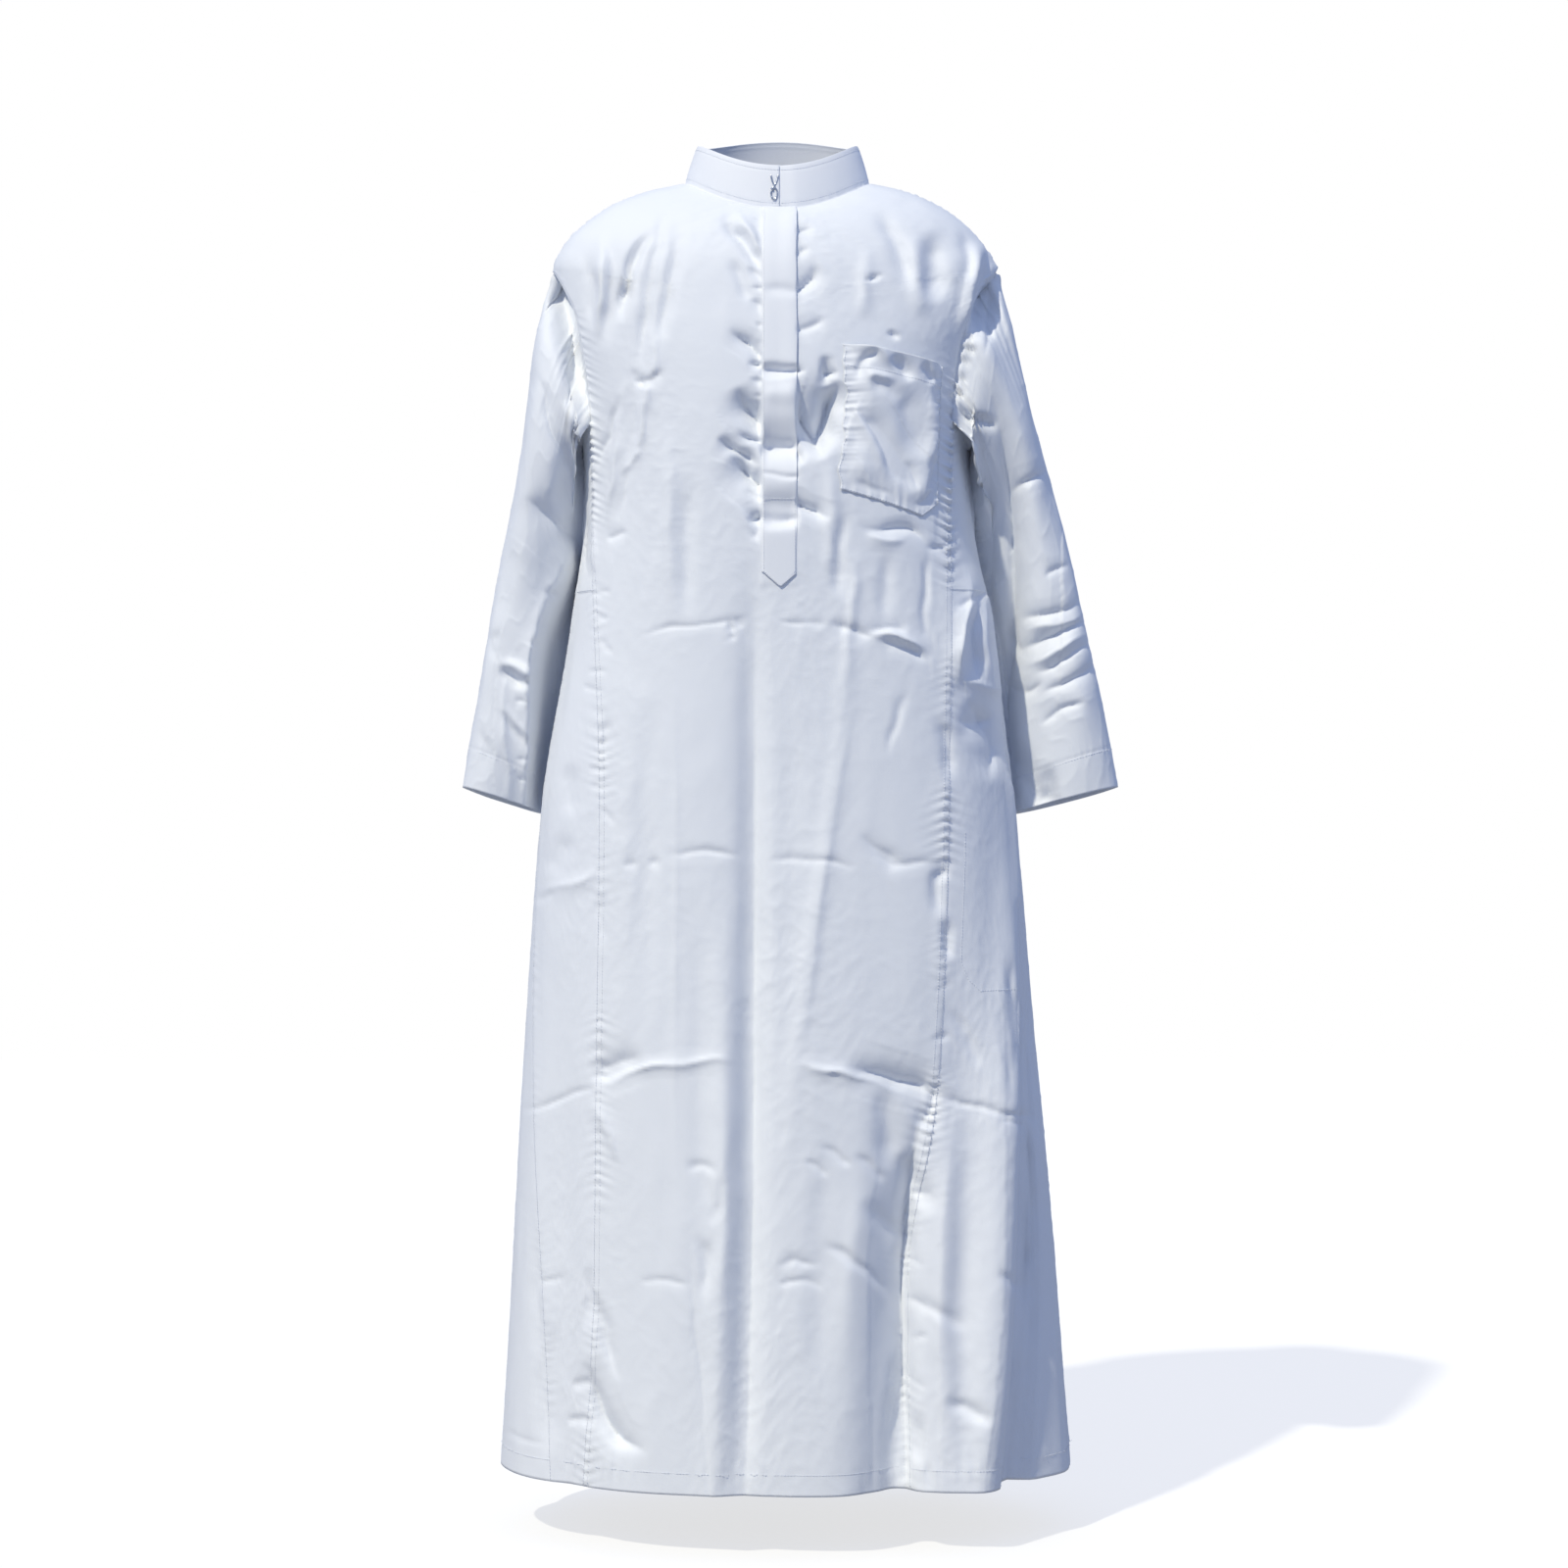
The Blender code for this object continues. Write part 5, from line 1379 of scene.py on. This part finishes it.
# ------------------------------------------------------------------ chest pocket
# A patch pocket on the wearer's left, open along its sloping top, which has a wide hem.  The
# rest is stitched down, and the cloth pulled by that seam bags and folds across it.
POCKET_TOP_COLUMNS = (11.5, 16.6)  # its top corners, in eighteenths of the front panel's width
POCKET_FOOT_COLUMNS = (12.0, 17.0)  # and its foot's
POCKET_TOP_DOWN = (0.263, 0.299)
POCKET_FOOT_DOWN = (0.445, 0.472, 0.457)
POCKET_LEAST = 0.0011  # it comes no closer to the panel than this
POCKET_FOLDS = (
    (-11, 0, 9, 866, 404, 878, 424, 893, 444, 909, 468, 922, 488, 930, 506),
    (-3, 0, 4, 922, 470, 928, 484, 934, 500),
)
POCKET_CREASES = (
    (4.5, 0, 7, 862, 400, 880, 432, 896, 462, 910, 494),
    (4, 0, 7, 864, 352, 892, 358, 912, 380),
    (-4, 0, 5, 870, 388, 882, 368, 896, 360),
    (3, 0, 4, 878, 386, 892, 384, 910, 396),
    (-2, 0, 6, 884, 394, 900, 396, 916, 410),
    (-6, 0, 6, 908, 362, 917, 374, 926, 392),
    (-5, 0, 5, 934, 370, 943, 380, 950, 394),
    (-5, 0, 12, 916, 392, 926, 430, 938, 474),
    (4, 0, 8, 948, 400, 952, 440, 946, 480),
    (-6, 0, 5, 968, 452, 958, 478, 948, 504),
    (-4, 0, 4, 962, 498, 948, 510, 930, 520),
    (-3, 0, 4, 870, 494, 890, 500, 912, 508),
    (-3, 0, 4, 850, 404, 862, 424, 866, 446),
)


def pocket_place(u, v):
    """Angle and level of a place on the pocket, u across it and v from its top to its foot."""
    top = np.interp(u, [0, 1], POCKET_TOP_DOWN)
    foot = np.interp(u, [0, 0.8, 1], POCKET_FOOT_DOWN)
    down = top + (foot - top) * v
    slack = 0.0016 * np.sin(19 * v + 1) + 0.0012 * np.sin(41 * v)
    seams = seam_angles(down)
    high = np.interp(u, [0, 1], POCKET_TOP_COLUMNS)
    low = np.interp(u, [0, 1], POCKET_FOOT_COLUMNS)
    wide = seams["front_left"] - seams["front_right"]
    angle = seams["front_right"] + wide * (high + (low - high) * v) / 18
    return angle + slack * (1 - u) / 0.25, down


def pocket_rise(u, v, angle, down):
    """Height of the pocket over the panel.

    It is bagged in the middle, sewn flat at sides and foot and loose at the mouth, and has its
    drawn creases.  A height h is least + 0.0008 * log(1 + exp(h / 0.0008)), never below least.
    """
    to_side = np.minimum(u, 1 - u)
    to_foot = 1 - v
    sewn = ease(to_side / 0.22) * ease(to_foot / 0.20)
    bag = 0.0085 * sewn * (0.75 + 0.25 * np.cos(2.2 * (v - 0.2)))
    mouth = 0.0028 * np.sin(math.pi * np.clip(u, 0, 1)) ** 0.7 * np.exp(-v / 0.12)
    column, row = plan(torso(angle, down))
    folded = drawn(column, row, POCKET_CREASES) + drawn(column, row, POCKET_FOLDS, pressed=True)
    folded = folded * ease(np.minimum(to_side, to_foot) / 0.10)
    puckers = 0.0009 * np.exp(-to_side / 0.06) * pucker(down, 6.0, 0.013)
    puckers = puckers + 0.0009 * np.exp(-to_foot / 0.06) * pucker(u * 0.11, 8.0, 0.013)
    return POCKET_LEAST + np.logaddexp(0, (bag + mouth + folded + puckers) / 0.0008) * 0.0008


u, v = np.meshgrid(np.linspace(0, 1, 76), np.linspace(0, 1, 110))
angle, down = pocket_place(u, v)
points = body_points(angle, down, pocket_rise(u, v, angle, down))
chest_pocket = sheet_object("chest_pocket_cloth", points, u * 0.105, -v * 0.165)
doubled = chest_pocket.modifiers.new("cloth_thickness", "SOLIDIFY")
doubled.thickness = 0.0006
doubled.offset = -1
chest_pocket.data.materials.append(cloth_finish("pocket_poplin", WHITE, 0.9))
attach(chest_pocket, "root")
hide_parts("chest_pocket")


# ------------------------------------------------------------------ side pocket bag
# A pocket bag inside the left front gore, its lower corner rounded, stitched through so that its
# outline shows as a line of stitches on the gore.
BAG_TOP_DOWN = 0.815
BAG_CORNER_DOWN = (0.955, 0.975, 0.990)
BAG_CORNER_SHARE = (0.16, 0.24, 0.40)
BAG_OUTER_SHARE = 0.96
BAG_BEHIND = 0.0022  # it hangs this far inside the gore


def bag_place(u, v):
    """Angle and level of a place on the bag, u from its inner edge to the side seam."""
    down = BAG_TOP_DOWN + (BAG_CORNER_DOWN[-1] - BAG_TOP_DOWN) * v
    inner = np.interp(down, BAG_CORNER_DOWN, BAG_CORNER_SHARE)
    seams = seam_angles(down)
    share = inner + (BAG_OUTER_SHARE - inner) * u
    return seams["front_left"] + (seams["side_left"] - seams["front_left"]) * share, down


u, v = np.meshgrid(np.linspace(1, 0, 40), np.linspace(0, 1, 56))
angle, down = bag_place(u, v)
points = body_points(angle, down, -BAG_BEHIND)
side_pocket_bag = sheet_object("side_pocket_bag_cloth", points, u * 0.1, -down)
side_pocket_bag.data.materials.append(cloth_finish("bag_poplin", (0.82, 0.84, 0.87), 1.0))
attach(side_pocket_bag, "root")
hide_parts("side_pocket_bag")


# ------------------------------------------------------------------ topstitching
# White polyester thread, about three stitches to the centimetre, along every lapped seam, the
# hems, the collar, the placket and the pocket.  Each stitch is a short four-sided dash of thread.
STITCH_PITCH = 0.0034
STITCH_LONG = 0.0026
THREAD = 0.00022  # half the thread's thickness
EDGE_INSET = 0.002  # from the placket's edges to their stitches


def evenly(points, out):
    """Points, normals and directions at an equal pitch along a line."""
    run = np.concatenate([[0], np.cumsum(np.linalg.norm(np.diff(points, axis=0), axis=1))])
    at = np.arange(STITCH_PITCH / 2, run[-1], STITCH_PITCH)

    def found(values, shift=0.0):
        """The values at every stitch, or a little before or after it."""
        return np.stack([np.interp(at + shift, run, values[:, i]) for i in range(3)], -1)

    way = unit(found(points, STITCH_PITCH / 4) - found(points, -STITCH_PITCH / 4))
    normal = found(out)
    return found(points), unit(normal - (normal * way).sum(1, keepdims=True) * way), way


def body_line(angle, down, rise):
    """A stitch line on the body's cloth."""
    angle, down = np.broadcast_arrays(angle, down)
    return body_points(angle, down, rise), torso_out(angle, down)


stitch_lines = []
levels = np.linspace(UNDERARM_DOWN + 0.01, HEM_DOWN - 0.002, 1400)
seams = seam_angles(levels)
for name, toward in (("front_right", 1), ("front_left", -1), ("back_right", -1), ("back_left", 1)):
    for inset, rise in ((-0.0030, 0.0009), (0.0032, 0.0011)):
        turn = -toward * inset / ring_pace(seams[name], levels)
        stitch_lines.append(body_line(seams[name] + turn, levels, rise))
levels = np.linspace(GORE_DOWN + 0.01, HEM_DOWN - 0.002, 1200)
seams = seam_angles(levels)
for name, toward in (("side_right", 1), ("side_left", -1)):
    turn = -toward * 0.0028 / ring_pace(seams[name], levels)
    stitch_lines.append(body_line(seams[name] + turn, levels, 0.0011))
stitch_lines.append(body_line(np.linspace(0, 2 * math.pi, 2200), HEM_STITCH_DOWN, 0.0001))
seams = seam_angles(np.array([GORE_DOWN]))
cuff = np.array([1 - CUFF_TURN + 0.004])
for word, (side, table, creases, pressed, seed) in ARMS.items():
    line = np.linspace(seams["front_" + word][0], seams["back_" + word][0], 260)
    stitch_lines.append(body_line(line, GORE_DOWN + 0.002, 0.0007))
    rings, out, around = sleeve_form(side, table, cuff)
    lift = sleeve_lift(rings, out, around, cuff, creases, pressed, seed)
    stitch_lines.append(((rings + (lift[..., None] + 0.0001) * out)[0], out[0]))
line = np.linspace(collar_start, collar_end, 900)
for height in COLLAR_STITCH_UP:
    up = np.full_like(line, height)
    place = collar(line, up, collar_sink(line) + collar_relief(line, up) - 0.00085)
    away = np.stack([np.sin(line), -np.cos(line), np.zeros_like(line)], -1)
    stitch_lines.append((place, away))
levels = np.linspace(0.004, PLACKET_SHOULDER_DOWN, 800)
sides = (PLACKET_RIGHT + EDGE_INSET, PLACKET_LEFT - EDGE_INSET)
for x in sides:
    begun = levels if x < 0 else levels[levels > PLACKET_FREE_DOWN]
    stitch_lines.append(body_line(angle_at(x, begun), begun, 0.0016))
fine = np.linspace(0, 2, 90)
x = np.interp(fine, [0, 1, 2], [sides[0], PLACKET_TIP_X, sides[1]])
shoulder = PLACKET_SHOULDER_DOWN - 0.001
level = np.interp(fine, [0, 1, 2], [shoulder, PLACKET_TIP_DOWN - 0.003, shoulder])
stitch_lines.append(body_line(angle_at(x, level), level, 0.0015))
x = np.linspace(*sides, 60)
level = PLACKET_FREE_DOWN + 0.003
stitch_lines.append(body_line(angle_at(x, level), level, 0.0022))
fine = np.linspace(0, 1, 300)
for u, v in ((0.012, fine), (fine, 0.990), (0.988, fine), (fine, 0.15)):
    u, v = np.broadcast_arrays(u, v)
    angle, down = pocket_place(u, v)
    stitch_lines.append(body_line(angle, down, pocket_rise(u, v, angle, down) + 0.0001))
for u, v in ((0.03, fine), (0.05 + 0.9 * fine, 0.985)):
    stitch_lines.append(body_line(*bag_place(u, v), 0.0001))

lines = zip(*(evenly(points, out) for points, out in stitch_lines))
place, normal, way = [np.concatenate(part)[:, None, None] for part in lines]
beside = np.cross(way, normal)
# One stitch: three rings of four corners at shares of its length, and two pointed, sunken ends.
ring_at = np.array([-0.36, 0.0, 0.36])[:, None, None] * STITCH_LONG
ring_up = np.array([0.6, 1.0, 0.6])[:, None, None] * THREAD
turn = (np.linspace(0, 2 * math.pi, 4, endpoint=False) + math.pi / 4)[:, None]
round_ring = THREAD * 1.25 * np.cos(turn) * beside
rings = place + way * ring_at + round_ring + normal * (ring_up + THREAD * 1.25 * np.sin(turn))
tips = (place + way * np.array([-0.5, 0.5])[:, None] * STITCH_LONG)[:, 0]
points = np.concatenate([rings.reshape(len(place), -1, 3), tips], axis=1)
i = np.arange(4)
after = (i + 1) % 4
quads = np.concatenate([np.stack([i, after, 4 + after, 4 + i], -1) + ring for ring in (0, 4)])
start_cap = np.stack([0 * i + 12, after, i], -1)
end_cap = np.stack([0 * i + 13, 8 + i, 8 + after], -1)
offset = 14 * np.arange(len(place))[:, None, None]
faces = (quads + offset).reshape(-1, 4).tolist()
faces += (np.concatenate([start_cap, end_cap]) + offset).reshape(-1, 3).tolist()
mesh = bpy.data.meshes.new("topstitching")
mesh.from_pydata(points.reshape(-1, 3).tolist(), [], faces)
mesh.shade_smooth()
topstitching = add_object("topstitching", mesh)
finish, tree, shader = new_material("white_thread")
on_object = add_node(tree, "ShaderNodeTexCoord", "place").outputs["Object"]
twist = add_noise(tree, "twist", on_object, (1, 1, 1), 2400, 1)
add_blend(tree, "thread colour", twist, (0.72, 0.76, 0.84), (0.90, 0.91, 0.93), shader)
set_inputs(shader, {"Roughness": 0.4, "Sheen Weight": 0.2})
mesh.materials.append(finish)
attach(topstitching, "root")


# ------------------------------------------------------------------ collar fastener
# A bright steel hook, bent from one wire with its two legs open at the top, stands over a drop
# shaped eye, and a short stem with a ball at its end hangs from it.  Both are sewn to the collar.
WIRE = 0.0010
FASTENER_DEG = -3.6
FASTENER_CLEAR = 0.0022
EYE_WIDE = 0.0034
EYE_TALL = 0.0066
EYE_UP = 0.31
HOOK_WIDE = 0.0038
HOOK_TALL = 0.0100
HOOK_FOOT_UP = 0.53


def fastener_place(up, across, along, clear=FASTENER_CLEAR):
    """Points beside and above a place on the collar's face, standing off it."""
    angle = np.array(math.radians(FASTENER_DEG) + 2 * math.pi)
    flat = np.array(0.0)
    here = collar(angle, np.array(up), flat)
    upward = collar(angle, np.array(up + 0.01), flat) - here
    beside = collar(angle + 0.01, np.array(up), flat) - here
    upward = unit(upward)
    out = unit(np.cross(beside, upward))
    beside = np.cross(upward, out)
    return here + across[:, None] * beside + along[:, None] * upward + clear * out


steel, tree, shader = new_material("bright_steel")
on_object = add_node(tree, "ShaderNodeTexCoord", "place").outputs["Object"]
rubbed = add_noise(tree, "rubbing", on_object, (1, 1, 1), 420, 3)
marks = add_noise(tree, "drawing marks", on_object, (1, 1, 0.1), 2600, 2)
add_blend(tree, "steel colour", rubbed, (0.34, 0.37, 0.42), (0.66, 0.69, 0.73), shader)
polish = add_math(tree, "polish", "MULTIPLY_ADD", rubbed, 0.25, 0.14)
tree.links.new(polish, shader.inputs["Roughness"])
relief = add_bump(tree, "wire marks", marks, 0.15, 0.0001)
tree.links.new(relief.outputs["Normal"], shader.inputs["Normal"])
set_inputs(shader, {"Metallic": 1.0})


def wire(name, points, closed=False, ball=0.0):
    """A round wire bent along a line: rings square to it, its open ends domed, the last a ball."""
    if closed:
        along = np.roll(points, -1, axis=0) - np.roll(points, 1, axis=0)
    else:
        ends = [0.8 * WIRE * unit(points[at] - points[then]) for at, then in ((0, 1), (-1, -2))]
        points = np.vstack([points[0] + ends[0], points, points[-1] + ends[1]])
        along = np.gradient(points, axis=0)
    along = unit(along)
    across = unit(np.cross(along, (0, 1, 0)))
    square = np.cross(along, across)
    thick = np.full(len(points), WIRE)
    if not closed:
        swell = np.linalg.norm(points - points[-2], axis=1) / (ball + 1e-9)
        thick = np.maximum(thick, ball * np.sqrt(np.clip(1 - swell**2, 0, 1)))
        thick[[0, -1]] = 0.35 * WIRE
    turn = np.linspace(0, 2 * math.pi, 16, endpoint=False)[None, :, None]
    ring = np.cos(turn) * across[:, None] + np.sin(turn) * square[:, None]
    rings = points[:, None] + thick[:, None, None] * ring
    index = np.arange(len(points) * 16).reshape(-1, 16)
    if closed:
        index = np.vstack([index, index[:1]])
    index = np.hstack([index, index[:, :1]])
    faces = cell_corners(index).reshape(-1, 4)[:, ::-1].tolist()
    if not closed:
        faces += [index[0, :-1].tolist(), index[-1, :-1][::-1].tolist()]
    mesh = bpy.data.meshes.new(name)
    mesh.from_pydata(rings.reshape(-1, 3).tolist(), [], faces)
    mesh.shade_smooth()
    mesh.materials.append(steel)
    made = add_object(name, mesh)
    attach(made, "root")
    return made


turn = np.linspace(0, 2 * math.pi, 48, endpoint=False)
drop = EYE_WIDE * np.sin(turn) * (1 + 0.12 * np.cos(turn))
eye = wire("eye_wire", fastener_place(EYE_UP, drop, EYE_TALL * np.cos(turn)), closed=True)
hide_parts("collar_eye")
bend = np.linspace(-1, 1, 41)
legs = HOOK_WIDE * np.sign(bend) * np.abs(bend) ** 0.8
climb = HOOK_TALL * np.abs(bend) ** 1.6
hook = wire("hook_wire", fastener_place(HOOK_FOOT_UP, legs, climb))
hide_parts("collar_hook")
fall = np.linspace(0, 1, 25)
stem = fastener_place(HOOK_FOOT_UP, -0.0026 * fall**2, -0.0062 * fall, 1.2 * FASTENER_CLEAR)
wire("hook_stem", stem, ball=0.0022)
